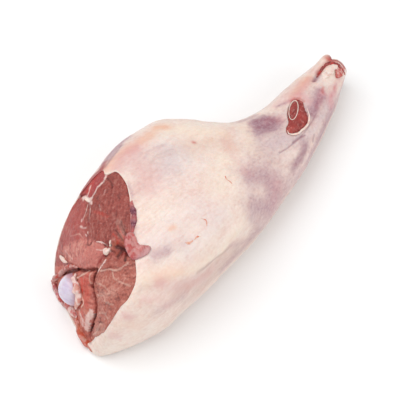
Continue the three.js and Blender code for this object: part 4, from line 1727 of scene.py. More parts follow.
@dataclass(frozen=True)
class LeanFace:
    """The lean in the rump cut: a plate of muscles in the bed of the fat cover.

    Its back is rings at a share of the way to the edge and at a depth. The fan's fibres spread from
    the fan's centre.
    """

    around: int = 440
    rings: int = 200
    edge_points: int = 720
    back: tuple[Pair, ...] = ((1.0, 2.5), (1.0, 5.0), (0.99, 7.5), (0.6, 7.5), (0.25, 7.5))
    thickness: float = 7.5
    overlap: float = 0.25
    edge_drop: float = 0.5
    edge_run: float = 2.2
    lowest: float = 2.4
    fan_centre: Pair = (12.0, -4.0)
    fan_turn: float = 24.0
    fan_reach: float = 22.0
    fan_strength: float = 0.45
    fan_size: Pair = (1.3, 1.0)
    warp_size: Pair = (9.0, 9.0)
    patch_size: Pair = (8.0, 8.0)
    marbling_size: Pair = (14.0, 4.6)
    marbling_turn: float = 70.0
    marbling_bend: float = 5.0
    marbling_width: float = 0.14
    crack_size: Pair = (9.0, 4.0)
    crack_turn: float = 40.0
    crack_bend: float = 3.0
    crack_width: float = 0.06

    def border(self) -> Array:
        """The lean's edge on the cut, which reaches a little under the fat.

        Returns:
            Its points, evenly spread, as (around, 2).
        """
        angle = np.linspace(0, 2 * np.pi, self.edge_points, endpoint=False)
        across, down, _ = RUMP.locate(FORM.skin(RUMP.meeting(FORM, angle), angle))
        distance, fat, _ = EDGE.measure(across, down)
        share = (1.0 - (fat - self.overlap) / distance)[:, None]
        edge = RUMP_MIDDLE + (np.stack([across, down], axis=-1) - RUMP_MIDDLE) * share
        closed = np.concatenate([edge, edge[:1]])
        run = np.concatenate([[0.0], np.cumsum(np.linalg.norm(np.diff(closed, axis=0), axis=1))])
        even = np.linspace(0, run[-1], self.around, endpoint=False)
        return np.stack([np.interp(even, run, closed[:, axis]) for axis in (0, 1)], axis=-1)

    def build(self) -> None:
        """Makes the lean with its colours. At its edge it drops by drop * (1 - s)^2, s rising inwards."""
        edge = self.border()
        reach = np.linalg.norm(edge - RUMP_MIDDLE, axis=1)
        share = np.arange(1, self.rings + 1)[:, None] / self.rings
        plan = RUMP_MIDDLE + (edge - RUMP_MIDDLE) * share[..., None]
        inwards = smooth_step(0, self.edge_run, reach * (1.0 - share))
        raised = LEAN_RELIEF.raised(plan) - self.edge_drop * (1 - inwards) ** 2
        face = RUMP.place(plan[..., 0], plan[..., 1], raised)
        inward, depth = np.array(self.back).T[..., None]
        sides = RUMP_MIDDLE + (edge - RUMP_MIDDLE) * inward[..., None]
        back = RUMP.place(sides[..., 0], sides[..., 1], -depth)
        back[..., 2] = np.maximum(back[..., 2], self.lowest)
        centre = RUMP_MIDDLE[None]
        first = RUMP.place(centre[:, 0], centre[:, 1], LEAN_RELIEF.raised(centre))[0]
        last = RUMP.place(centre[:, 0], centre[:, 1], -self.thickness)[0]
        shell = closed_shell(np.concatenate([face, back]), first, last)
        edges = np.tile(plan[-1], (len(back), 1))
        shell.marks = self.marks(np.concatenate([centre, plan.reshape(-1, 2), edges, centre]))
        make_piece("rump_lean", shell, LEAN)

    def marks(self, places: Array) -> dict[str, Array]:
        """What the lean's finish reads.

        Args:
            places: (across, down) pairs.

        Returns:
            One value from 0 to 1 for each place, by the mark's name.
        """
        muscles = inside_muscles(places)
        shade, light, cracks = self.fibres(places, muscles)
        marks = muscles | {"fibre_shade": shade, "fibre_light": light} | painted(places)
        # the cracks are painted shade, laid on the dark mark
        marks["dark"] = np.maximum(marks["dark"], cracks)
        return marks

    def fibres(self, places: Array, muscles: dict[str, Array]) -> tuple[Array, Array, Array]:
        """Painted shade in gaps and cracks between bundles, and pale strands, by how each muscle lies to the
        knife.

        The eye muscle, which is what no other covers, is cut straight across, so its bundles are
        round. The left one is cut slantwise, the fan's fibres spread from their tendon, and the lower
        one is marbled with wavy strands, the ridges where a noise warped by another crosses zero.

        Args:
            places: (across, down) pairs.
            muscles: how far each place belongs to each muscle.

        Returns:
            The gaps, the strands and the cracks, each from 0 to 1.
        """
        belongs = muscles | {"eye": np.clip(1.0 - sum(muscles.values()), 0.0, 1.0)}

        def weighed(weights: dict[str, float]) -> Array:
            """The muscles' weights, each where its muscle lies."""
            return sum(weight * belongs[name] for name, weight in weights.items())

        warp = flat_shift(places, self.warp_size, 75)
        spread = places - np.array(self.fan_centre)
        bearing = np.arctan2(spread[..., 1], spread[..., 0])
        fan = np.stack([bearing * self.fan_turn, np.linalg.norm(spread, axis=-1) / self.fan_reach], axis=-1)
        grain = belongs["pink"] * self.fan_strength * flat_noise(fan, self.fan_size, 0, 71)
        for kind in GRAINS:
            noise = flat_noise(places + kind.bend * warp, kind.size, kind.turn, kind.seed)
            grain = grain + belongs[kind.muscle] * kind.strength * noise
        patchy = smooth_step(-0.5, 0.4, flat_noise(places, self.patch_size, 0, 78))
        bent = places + self.marbling_bend * warp
        wavy = np.abs(flat_noise(bent, self.marbling_size, self.marbling_turn, 77))
        bent = places + self.crack_bend * warp
        crack = np.abs(flat_noise(bent, self.crack_size, self.crack_turn, 82))
        shade = smooth_step(0.1, 0.75, grain) * weighed(SHADED)
        light = smooth_step(0.15, 0.8, -grain) * weighed(LIT)
        marbling = smooth_step(self.marbling_width, 0.02, wavy) * patchy * weighed(MARBLED)
        cracks = smooth_step(self.crack_width, 0.0, crack) * (1 - patchy) * weighed(CRACKED)
        return np.clip(shade, 0, 1), np.clip(light + marbling, 0, 1), cracks


def flat_noise(places: Array, size: Pair, turn: float, seed: int) -> Array:
    """Value noise on the cut, drawn out along a direction.

    Args:
        places: (across, down) pairs.
        size: the noise's size along the direction and across it.
        turn: the direction, in degrees from across towards down.
        seed: which pattern to take.

    Returns:
        One value from -1 to 1 for each place.
    """
    angle = np.radians(turn)
    along = places[..., 0] * np.cos(angle) + places[..., 1] * np.sin(angle)
    beside = -places[..., 0] * np.sin(angle) + places[..., 1] * np.cos(angle)
    points = np.stack([along / size[0], beside / size[1], np.zeros_like(along)], axis=-1)
    return value_noise(points, 1.0, seed)


# How a stroke's edge is ragged and how it comes and goes, as noise by height, size and pattern.
RAGGEDNESS = ((0.35, (2.4, 2.4), 91), (0.3, (1.2, 1.2), 92))
BROKENNESS = (0.35, (3.5, 3.5), 93)


def flat_shift(places: Array, size: Pair, seed: int) -> Array:
    """A shift of each (across, down) place by two value noises, of one seed and the next."""
    return np.stack([flat_noise(places, size, 0, seed + step) for step in (0, 1)], axis=-1)


def inside_muscles(places: Array) -> dict[str, Array]:
    """How far each place belongs to each muscle, over a soft edge that wavers with noise.

    Args:
        places: (across, down) pairs.

    Returns:
        One value from 0 to 1 for each place, by the muscle's name.
    """
    bent = places + MUSCLE_WAVER * flat_shift(places, MUSCLE_WAVER_SIZE, 85)
    return {
        name: smooth_step(-MUSCLE_EDGE, MUSCLE_EDGE, depth_inside(bent, outline, 70))
        for name, outline in MUSCLES.items()
    }


def painted(places: Array) -> dict[str, Array]:
    """How strongly each tissue is laid on each place, by strokes with ragged edges.

    Args:
        places: (across, down) pairs.

    Returns:
        One value from 0 to 1 for each place, by the tissue's name.
    """
    ragged = 1.0 + sum(height * flat_noise(places, size, 0, seed) for height, size, seed in RAGGEDNESS)
    height, size, seed = BROKENNESS
    broken = 0.8 + height * flat_noise(places, size, 0, seed)
    return {
        tissue.value: np.clip(
            broken * np.maximum.reduce([stroke.laid(places, ragged) for stroke in strokes]), 0.0, 1.0
        )
        for tissue, strokes in STROKES.items()
    }


@dataclass(frozen=True)
class LeanRelief:
    """How far the lean stands above or below the domed cut.

    A lump is noise, by its height, size and pattern. A grain is too, with one height for the upper
    muscles and one for the lower. The socket round the ball of the bone is torn beyond a distance
    from the ball's middle. A stroke's rise is a bell somewhat wider than the stroke.
    """

    lumps: tuple[tuple[float, float, int], ...] = ((0.7, 21, 62), (0.45, 9, 63))
    grains: tuple[tuple[Pair, float, int], ...] = (((0.28, 0.45), 3.1, 64), ((0.16, 0.32), 1.6, 65))
    lower: str = "tan"
    lower_edge: float = 2.0
    socket_depth: float = 3.0
    socket_width: float = 15.5
    torn: tuple[float, float, int] = (1.1, 7.0, 61)
    torn_from: float = 6.0
    torn_width: float = 13.0
    rise_width: float = 1.3

    def raised(self, places: Array) -> Array:
        """The height above the domed cut: the lumps and grains, less the socket and the seams' valleys.

        Args:
            places: (across, down) pairs.

        Returns:
            One height for each place.
        """
        deep = np.concatenate([places, np.zeros_like(places[..., :1])], axis=-1)
        below = depth_inside(places, MUSCLES[self.lower], 50)
        low = smooth_step(-self.lower_edge, self.lower_edge, below)
        total = sum(height * value_noise(deep, size, seed) for height, size, seed in self.lumps)
        for heights, size, seed in self.grains:
            total = total + mix(*heights, low) * value_noise(deep, size, seed)
        ball = np.linalg.norm(places - BALL_CENTRE, axis=-1)
        height, size, seed = self.torn
        torn = height * layered_noise(deep, size, seed)
        total = total + torn * hill(np.maximum(ball - self.torn_from, 0), self.torn_width)
        total = total - self.socket_depth * hill(ball, self.socket_width)
        total = total - np.maximum.reduce([seam.valley(places) for seam in SEAMS])
        for stroke in (stroke for strokes in STROKES.values() for stroke in strokes if stroke.rise):
            total = total + stroke.rise * hill(stroke.distance(places), self.rise_width * stroke.width)
        return total


LEAN_RELIEF = LeanRelief()


# ---- things on a surface


def lean_place(across: Array, down: Array) -> tuple[Array, Array]:
    """The points of the lean at across and down on the rump cut, and its outward directions."""
    raised = LEAN_RELIEF.raised(np.stack([across, down], axis=-1))
    return RUMP.place(across, down, raised), RUMP.normal(across, down)


def roughened(shell: Shell, size: float, height: float, seed: int) -> Shell:
    """A torn look: each coordinate of the shell is shifted by its own layered noise.

    Args:
        shell: what is roughened.
        size: the noise's size.
        height: the most that a coordinate shifts.
        seed: which pattern to take.

    Returns:
        The roughened shell.
    """
    shift = [layered_noise(shell.points, size, seed + 10 * axis) for axis in range(3)]
    return replace(shell, points=shell.points + height * np.stack(shift, axis=-1))


def mottled(points: Array, tints: Tints, seed: int) -> dict[str, Array]:
    """Marks that come and go in patches.

    Args:
        points: where the marks are wanted.
        tints: each mark's name, its strength and the size of its patches, 0 for everywhere.
        seed: which pattern to take.

    Returns:
        The marks by name.
    """
    marks = {}
    for index, (name, strength, size) in enumerate(tints):
        patches = layered_noise(points, size, seed + 7 * index) if size else np.ones(points.shape[:-1])
        marks[name] = strength * smooth_step(-0.3, 0.3, patches)
    return marks


@dataclass(frozen=True)
class Strand:
    """A torn strand along a line, with its half widths and half heights at even steps along it.

    It tapers to both ends as least + (1 - least) * sin^power, and is kept off the floor.
    """

    line: Line
    half_widths: Row
    half_heights: Row
    lift: float = 0.0
    tints: Tints = ()
    waver: float = 0.25
    ragged: float = 0.3
    waver_size: float = 4.0
    ragged_size: float = 3.0
    least: float = 0.2
    power: float = 0.35
    lowest: float = 0.6

    def shell(self, seed: int, lying_on: Surface, count: int, sides: int = 18) -> Shell:
        """The strand's mesh and marks.

        Args:
            seed: which pattern its raggedness takes.
            lying_on: the surface that its line is laid on.
            count: how many sections it has.
            sides: how many points each section has.

        Returns:
            The strand's shell.
        """
        points, up = lying_on(*smooth_line(self.line, count).T)
        path = points + up * self.lift
        tapered = np.sin(np.pi * (np.arange(count) + 0.5) / count) ** self.power
        swell = self.least + (1 - self.least) * tapered
        swell = swell * (1 + self.waver * value_noise(path, self.waver_size, seed))
        width, height = (
            np.interp(np.linspace(0, 1, count), np.linspace(0, 1, len(given)), given) * swell
            for given in (self.half_widths, self.half_heights)
        )
        path[:, 2] = np.maximum(path[:, 2], 0.8 * height + self.lowest)
        made = roughened(strand(path, up, width, height, sides), self.ragged_size, self.ragged, seed)
        made.points[:, 2] = np.maximum(made.points[:, 2], self.lowest)
        made.marks = mottled(made.points, self.tints, seed)
        return made


# ---- bones


@dataclass(frozen=True)
class BoneEnd:
    """A bone's end turned about an axis, slightly uneven, with blood where flesh meets it.

    Its surface is uneven by a height, with noise of a size and pattern in layers. The blood lies in
    a band of a width at a depth below the cut, and in patches of a strength, size and pattern.
    """

    inward: Triple
    length: float
    along: int
    around: int
    uneven: tuple[float, float, int, int]
    band: Pair
    patches: tuple[float, float, float, int]

    def run(self) -> Array:
        """How far each ring lies from the tip, as length * (1 - cos) / 2, closer at both ends."""
        return (1 - np.cos(np.pi * np.arange(1, self.along) / self.along)) / 2 * self.length

    def turned(self, tip: Array, radius: Array, pinch: Array | float = 1.0) -> Shell:
        """The bone: tip + axis * run + radius * (side * cos + up * pinch * sin), made uneven.

        Args:
            tip: where its axis starts.
            radius: the radius of each ring.
            pinch: how far each ring, or each of its points, is pressed flat.

        Returns:
            Its shell.
        """
        axis = unit(np.array(self.inward))
        side = unit(np.cross(np.array([0.0, 0.0, 1.0]), axis))
        up = np.cross(axis, side)
        turn = 2 * np.pi * np.arange(self.around) / self.around
        rise = np.broadcast_to(np.sin(turn) * pinch, (len(radius), self.around))
        spokes = side * np.cos(turn)[:, None] + up * rise[..., None]
        rings = tip + axis * self.run()[:, None, None] + spokes * radius[:, None, None]
        height, size, seed, layers = self.uneven
        rings = rings + grid_normals(rings) * height * layered_noise(rings, size, seed, layers)[..., None]
        return closed_shell(rings, tip, tip + axis * self.length)

    def stain(self, shell: Shell, cut: Cut) -> None:
        """Marks the blood, as a bell about its depth below the cut, and in patches.

        Args:
            shell: the bone's shell.
            cut: the cut that the bone shows in.
        """
        strength, most, size, seed = self.patches
        depth, width = self.band
        patchy = smooth_step(0.1, most, layered_noise(shell.points, size, seed))
        band = 0.8 * hill(cut.locate(shell.points)[2] + depth, width)
        shell.marks = {"blood": np.clip(band + strength * patchy, 0, 1)}


@dataclass(frozen=True)
class ThighBone(BoneEnd):
    """The ball of the thigh bone on its neck, set in the rump cut."""

    inward: Triple = (0.93, -0.27, 0.25)
    length: float = 44.0
    along: int = 96
    around: int = 110
    uneven: tuple[float, float, int, int] = (0.45, 11.0, 21, 2)
    band: Pair = (1.5, 4.5)
    patches: tuple[float, float, float, int] = (0.3, 0.8, 6.0, 23)
    centre: Triple = (-167.5, 10.0, 29.0)
    ball: float = 15.5
    neck: float = 10.0
    root: float = 12.0
    end_round: float = 5.0

    def build(self) -> None:
        """Makes the bone: the ball's circle, then the neck, whose end is rounded."""
        run = self.run()
        from_centre = run - self.ball
        ball = np.sqrt(np.maximum(self.ball ** 2 - from_centre ** 2, 0.0))
        neck = mix(self.neck, self.root, smooth_step(1.4 * self.ball, self.length, run))
        past = np.maximum((run - self.length) / self.end_round + 1, 0)
        radius = np.where(from_centre < 0, ball, np.maximum(ball, neck * np.sqrt(1 - past ** 2)))
        shell = self.turned(np.array(self.centre) - unit(np.array(self.inward)) * self.ball, radius)
        self.stain(shell, RUMP)
        make_piece("thigh_bone_ball", shell, CARTILAGE, Slot.CARTILAGE, "thigh_bone")


@dataclass(frozen=True)
class ShankBone(BoneEnd):
    """The end of the shank bone: it swells to two low knuckles with a groove between them."""

    inward: Triple = (-0.985, -0.08, 0.09)
    length: float = 50.0
    along: int = 80
    around: int = 80
    uneven: tuple[float, float, int, int] = (0.4, 5.0, 24, 3)
    band: Pair = (1.0, 2.2)
    patches: tuple[float, float, float, int] = (0.5, 0.7, 4.0, 25)
    tip: Triple = (193.0, -6.5, 35.5)
    knuckle: float = 9.4
    root: float = 7.5
    knuckle_at: float = 13.0
    saddle: float = 0.1
    end_round: float = 6.0

    def build(self) -> None:
        """Makes the bone. Its groove takes saddle * |sin|^4 off the radius, fading along it."""
        run = self.run()
        swell = hill(run - self.knuckle_at, 1.3 * self.knuckle_at)
        from_end = np.minimum(np.minimum(run, self.length - run) / self.end_round, 1.0)
        radius = mix(self.root, self.knuckle, swell) * np.sqrt(1 - (1 - from_end) ** 2)
        turn = 2 * np.pi * np.arange(self.around) / self.around
        fade = 1 - smooth_step(0.1, 0.6, run / self.length)
        pinch = 1 - self.saddle * np.abs(np.sin(turn)) ** 4 * fade[:, None]
        shell = self.turned(np.array(self.tip), radius, pinch)
        self.stain(shell, HOCK)
        make_piece("shank_bone_end", shell, BONE, Slot.BONE, "shank_bone")


# ---- the hip joint


@dataclass(frozen=True)
class HipJoint:
    """What is left of the hip joint round the ball of the bone, and the strip that hangs below it.

    Each strand comes with its piece's name and the pattern of its raggedness.
    """

    strands: tuple[tuple[str, int, Strand], ...] = (
        ("hip_collar", 51, Strand(
            ((30, 42), (38, 50), (43, 58), (47, 67), (49, 75), (51, 82), (52, 89), (50, 94)),
            (2, 2.6, 2.4, 2.3, 2.6, 3.4, 3.6, 2.6), (2.2, 3.4, 3.8, 4, 3.8, 3.6, 3.2, 2.2),
            1, (("warm", 0.7, 0), ("blood", 0.5, 4), ("red", 0.7, 4), ("sinew", 0.45, 3)), 0.3, 0.9,
        )),
        ("hip_lower_rim", 55, Strand(
            ((52, 90), (46, 93), (37, 92), (27, 89), (16, 84)),
            (2.4, 2.8, 2.4, 2, 1.6), (2.6, 2.4, 2.2, 2, 1.6),
            0.8, (("rose", 0.9, 0), ("mauve", 0.4, 6), ("red", 0.5, 4), ("sinew", 0.5, 3)), 0.3, 0.7,
        )),
        ("hip_ligaments", 52, Strand(
            ((27, 47), (22, 50), (17, 51.5), (11, 53), (7, 57), (5.5, 63), (6, 70)),
            (2, 3.6, 4, 4.2, 3.8, 3.4, 2.4), (1.6, 2.8, 3.2, 3.2, 3, 2.6, 1.8),
            2, (("warm", 1, 0), ("cream", 0.5, 6), ("red", 0.85, 3.6), ("sinew", 0.9, 4.4)), 0.3, 0.7,
        )),
        ("hip_flesh", 53, Strand(
            ((27, 86), (18, 82), (10, 79.5), (2, 76.5)), (2.6, 3.8, 4, 3), (2, 3, 3.2, 2.4),
            0.8, (("warm", 1, 0), ("red", 0.8, 3.6), ("sinew", 0.8, 4), ("mauve", 0.3, 4)), 0.3, 0.8,
        )),
        ("rump_flap", 54, Strand(
            ((3, 77), (-3, 82.5), (-11, 86), (-20, 87), (-29, 85), (-35, 81)),
            (2.6, 3.6, 3.8, 3.6, 3.2, 2.4), (2.2, 3, 3.2, 3, 2.6, 2),
            0.6, (("warm", 0.5, 0), ("amber", 0.9, 0), ("red", 0.5, 5), ("sinew", 0.3, 2.6)), 0.25, 0.7,
        )),
    )
    knots: tuple[Strand, ...] = (
        Strand(((57, 57), (51, 55), (45, 53)), (1.6, 2.2, 1.4), (1.4, 1.8, 1.2), 1.2, ragged=0.7),
        Strand(((18, 4), (15.5, 2), (14, -1)), (2.2, 2.7, 1.8), (1.4, 1.9, 1.3), 0.4, ragged=0.7),
        Strand(((17, -3.5), (19, -6), (20.5, -7.5)), (0.9, 0.8, 0.6), (0.8, 0.7, 0.5), 0.3),
        Strand(((78.5, -1), (74, -3), (70, -4.5)), (1.2, 1.9, 1.2), (0.7, 1.1, 0.8), 0.1, ragged=0.7),
    )
    knot_seed: int = 320

    def build(self) -> None:
        """Makes the strands, each as a piece, and the knots as one."""
        for name, seed, made in self.strands:
            make_piece(name, made.shell(seed, lean_place, 150, 30), LEAN)
        knots = [made.shell(self.knot_seed + index, lean_place, 40) for index, made in enumerate(self.knots)]
        make_piece("rump_knots", joined(knots), SINEW)


# ---- on the upper rim


@dataclass(frozen=True)
class UpperRim:
    """On the upper rim of the cut: a tongue of membrane folded over the fat, a swollen vein and
    fine vessels, all in plan.

    The tongue's folds are noise by height, size along and across, turn and pattern. Its rolled rim
    is a height, a share of the way out and a width. The vein is filled about two shares of its way.
    """

    outline: Line = (
        (-127, -19), (-130.5, -25), (-133, -33), (-131.5, -38), (-124, -42), (-117, -42), (-114, -39),
        (-118.5, -35), (-119, -29), (-116, -23), (-114.5, -17.5), (-118, -14), (-122.5, -15),
    )
    height: float = 1.7
    root: float = 3.0
    root_tuck: float = 0.12
    around: int = 130
    rings: int = 30
    folds: tuple[tuple[float, Pair, float, int], ...] = (
        (1.0, (9.0, 2.6), 60, 401), (0.5, (3.0, 1.4), 50, 402),
    )
    roll: Triple = (0.6, 0.86, 0.09)
    grown_fast: float = 0.25
    off_lean: Pair = (1.0, -0.5)
    vein_end: Pair = (-119.0, -18.0)
    vein: Strand = Strand(
        ((-92, 6), (-95, 3), (-98, -1.5), (-101.5, -6.5), (-105.5, -10), (-110, -14), (-115, -17.5)),
        (1.2, 1.9, 2.9, 2.2, 2.9, 2.6, 2), (1, 1.5, 2.3, 1.4, 2.2, 1.8, 1.3), 0.3, waver=0.2, ragged=0.5,
    )
    vein_seed: int = 421
    filled: tuple[Pair, ...] = ((0.42, 0.17), (0.79, 0.13))
    vessels: tuple[Strand, ...] = (
        Strand(((-7, -31), (-9, -34), (-8, -38), (-9, -43)), (0.8, 0.4, 0.8), (0.4,), -0.15, ragged=0.5),
        Strand(((-60, -49), (-58, -53), (-61, -57)), (0.5,), (0.3,), -0.15, ragged=0.4),
        Strand(((-88, -56), (-85, -58.5), (-80, -58.5)), (0.8, 1.4, 0.7), (0.5,), -0.15, ragged=0.6),
        Strand(((-79, -59), (-75, -58.5), (-71, -61)), (0.6, 1, 0.5), (0.4,), -0.15, ragged=0.5),
    )
    vessel_seed: int = 430

    def build(self) -> None:
        """Makes the tongue, the vein and the vessels."""
        self.build_tongue()
        shell = self.vein.shell(self.vein_seed, skin_place, 110, 24)
        _, passed = distance_to(shell.points[:, :2], self.vein.line)
        patchy = layered_noise(shell.points, 3.0, self.vein_seed + 1)
        shell.marks = {
            "vein": np.maximum.reduce([hill(passed - place, width) for place, width in self.filled]),
            "pale": smooth_step(0.3, 0.05, passed) * smooth_step(-0.4, 0.2, patchy),
            "red": 0.6 * smooth_step(0.85, 1.0, passed),
        }
        make_piece("rim_vein", shell, MEMBRANE)
        vessels = [line.shell(self.vessel_seed + index, skin_place, 50, 10)
                   for index, line in enumerate(self.vessels)]
        make_piece("skin_vessels", joined(vessels), CAPILLARY)

    def build_tongue(self) -> None:
        """Makes the tongue: flat in its middle, rolled at its edge and rooted in the fat below.

        Its upper face stands height * sqrt(1 - share^6) above the surface, with small folds, and is
        lower towards the lean, where it has grown fast.
        """
        edge = smooth_line(self.outline, self.around, closed=True)
        middle, off_lean = edge.mean(axis=0), np.array(self.off_lean)
        share = np.linspace(0, 1, self.rings + 1)[1:]
        plan = middle + (edge - middle) * share[:, None, None]
        points, up = skin_place(plan[..., 0], plan[..., 1])
        folds = sum(height * flat_noise(plan, size, turn, seed) for height, size, turn, seed in self.folds)
        roll_height, roll_at, roll_width = self.roll
        rolled = roll_height * hill(share - roll_at, roll_width)[:, None]
        loose = mix(self.grown_fast, 1.0, smooth_step(-8.0, 3.0, (plan - middle) @ off_lean))
        domed = self.height * np.sqrt(1 - share ** 6)[:, None]
        top = loose * (domed + folds * (1 - share ** 4)[:, None] + rolled)
        lower = points - up * self.root
        lower = mix(lower, lower.mean(axis=(0, 1)), self.root_tuck)
        rings = np.concatenate([lower, (points + up * top[..., None])[::-1][1:]])
        first, first_up = skin_place(middle[:1], middle[1:])
        peak = self.height * float(loose.max(axis=0).mean())
        shell = closed_shell(rings, (first - first_up * self.root)[0], (first + first_up * peak)[0])
        at_edge = np.repeat(smooth_step(0.8, 1.0, np.concatenate([share, share[::-1][1:]])), self.around)
        plan, across = shell.points[:, :2], shell.points[:, 1]
        at_vein = hill(np.linalg.norm(plan - np.array(self.vein_end), axis=-1), 8.0)
        at_lean = smooth_step(2.0, -7.0, (plan - middle) @ off_lean)
        # the pale mottles are painted glints on the slick membrane
        marks = mottled(shell.points, (("red", 0.45, 5), ("pale", 0.3, 3)), 410)
        shell.marks = {
            "red": np.maximum.reduce([marks["red"], 0.8 * at_vein, 0.7 * at_lean]),
            "pale": np.maximum(marks["pale"], 0.4 * hill(across + 41.0, 4.0)),
            "edge": 0.5 * np.concatenate([[0.0], at_edge, [0.0]]) + 0.5 * hill(across + 40.0, 4.0),
        }
        make_piece("membrane_tongue", shell, MEMBRANE)


# ---- the shank


@dataclass(frozen=True)
class ShankWindow:
    """The window in the shank's cover: the muscle in it, a small spindle muscle and their sheaths."""

    around: int = 110
    rings: int = 40
    muscle_reach: float = 1.02
    muscle_rise: float = 1.5
    muscle_ripple: float = 0.3
    muscle_root: float = 3.0
    spindle_at: Pair = (105.5, -18.6)
    spindle_half: Triple = (11.6, 4.0, 2.2)
    spindle_turn: float = 33.0
    spindle_lift: float = 1.4
    spindle_torn: float = 0.25
    sheath_size: float = 1.05
    sheath_lift: float = 0.5
    sheath_half: float = 0.42
    sheath_waver: float = 0.4
    sheath_points: int = 260
    near_rim: Strand = Strand(
        ((117, -26), (111, -34), (103, -38.8), (94, -39.6), (86, -39.2), (80, -34.6), (82, -31)),
        (0.5, 0.9, 1.1, 1.1, 1, 0.8, 0.4), (0.8,), 0.4,
    )

    def build(self) -> None:
        """Makes the muscle, the spindle and the pale sheaths round them."""
        edge = smooth_line(WINDOW, self.around, closed=True)
        middle = edge.mean(axis=0)
        share = np.linspace(0, 1, self.rings + 1)[1:]
        plan = middle + (edge - middle) * share[:, None, None] * self.muscle_reach
        points, up = self.floor(plan)
        ripple = self.muscle_ripple * flat_noise(plan, (6, 2), -38, 501)
        rise = self.muscle_rise * (1 - share ** 4)[:, None] + ripple
        centre, centre_up = self.floor(middle[None])
        root = self.muscle_root
        rings = np.concatenate([points - up * root, (points + up * rise[..., None])[::-1]])
        first, last = (centre - centre_up * root)[0], (centre + centre_up * self.muscle_rise)[0]
        muscle = closed_shell(rings, first, last)
        spindle = roughened(strand(*self.spindle_path(60, 1.0), 30), 4.0, self.spindle_torn, 511)
        muscle.marks = mottled(muscle.points, (("red", 0.3, 6), ("dark", 0.3, 4)), 505)
        spindle.marks = mottled(spindle.points, (("dark", 0.5, 4), ("red", 0.15, 4)), 515)
        make_piece("shank_muscle", muscle, SHANK_MUSCLE)
        make_piece("shank_spindle", spindle, SHANK_MUSCLE)
        self.build_sheaths()

    def floor(self, plan: Array) -> tuple[Array, Array]:
        """The smooth form over places in plan, sunk by the window's depth, and its outward directions."""
        points, up = form_place(plan[..., 0], plan[..., 1])
        return points - up * RELIEF.window_depth, up

    def spindle_path(self, count: int, size: float) -> tuple[Array, Array, Array, Array]:
        """The spindle as sections along its middle.

        Its girth is the square root of 1 - t^2, t running from -1 to 1 along it, so that it is an
        ellipse in plan.

        Args:
            count: how many sections there are.
            size: how many times its own length and width it has.

        Returns:
            The middle line, the outward directions, the half widths and the half heights.
        """
        half_length, half_width, half_height = self.spindle_half
        turn = np.radians(self.spindle_turn)
        run = -np.cos(np.pi * (np.arange(count) + 0.5) / count)
        along = half_length * size * np.array([np.cos(turn), np.sin(turn)])
        points, up = self.floor(np.array(self.spindle_at) + run[:, None] * along)
        girth = np.sqrt(1 - run ** 2)
        return points + up * self.spindle_lift, up, half_width * girth * size, half_height * girth

    def build_sheaths(self) -> None:
        """Makes the thin sheath round the spindle and the pale rim of the window's near side."""
        path, up, half_width, _ = self.spindle_path(90, self.sheath_size)
        out = unit(np.cross(up, unit(np.gradient(path, axis=0)))) * half_width[:, None]
        loop = np.concatenate([path + out, (path - out)[::-1]])
        loop = loop + np.concatenate([up, up[::-1]]) * self.sheath_lift
        loop = smooth_line(loop, self.sheath_points, closed=True)
        half = self.sheath_half * (1 + self.sheath_waver * value_noise(loop, 4.0, 521))
        even_up = np.broadcast_to(up.mean(axis=0), loop.shape)
        sheath = strand(loop, even_up, half, half, 10, looped=True)
        rim = self.near_rim.shell(522, form_place, 140, 12)
        make_piece("window_sheaths", joined([sheath, rim]), SINEW)


@dataclass(frozen=True)
class HockEnd:
    """The hock: red flesh in the gap beside the tendon, bright flesh on the near corner of the cut,
    and the tendon's pale end.

    Each strand comes with its piece's name, the pattern of its raggedness, how many sections it has
    and its finish.
    """

    strands: tuple[tuple[str, int, int, Finish, Strand], ...] = (
        ("hock_seam", 602, 120, SHANK_MUSCLE, Strand(
            (
                (149, -9), (155, -7), (162, -4.5), (168, -3), (173, -3), (177, -5.5), (180, -10), (182, -15),
                (185, -19),
            ),
            (1, 1.6, 2.2, 2.8, 2.8, 2.4, 2.2, 2.2, 1.8), (0.6, 1, 1.2, 1.4, 1.5, 1.3, 1.1, 1.1, 0.9),
            0.2, (("dark", 0.35, 3), ("red", 1, 5)), 0.4, 1,
        )),
        ("hock_flesh", 604, 70, LEAN, Strand(
            ((168, -21), (173, -18.5), (178, -16.5), (181.5, -18.5)),
            (1.6, 4.4, 5, 3.4), (0.7, 1, 1.2, 0.9), 0.4,
            (("pink", 0.9, 0), ("red", 0.6, 0), ("blood", 0.3, 2.6), ("sinew", 0.6, 2.2)), 0.5, 1.3,
        )),
        ("hock_tendon", 605, 80, SINEW, Strand(
            ((148, -15.5), (156, -14), (165, -12.5), (174, -11.5), (181, -11)),
            (1.6, 3, 3.8, 4.2, 3.4), (0.6, 0.9, 1, 1, 0.8), waver=0.4, ragged=0.7,
        )),
    )

    def build(self) -> None:
        """Makes each strand as a piece."""
        for name, seed, count, finish, made in self.strands:
            make_piece(name, made.shell(seed, skin_place, count), finish)


# ---- the studio


@dataclass(frozen=True)
class Light:
    """A square soft light: its place, the length of its side and its power in watts."""

    name: str
    place: Triple
    size: float
    energy: float


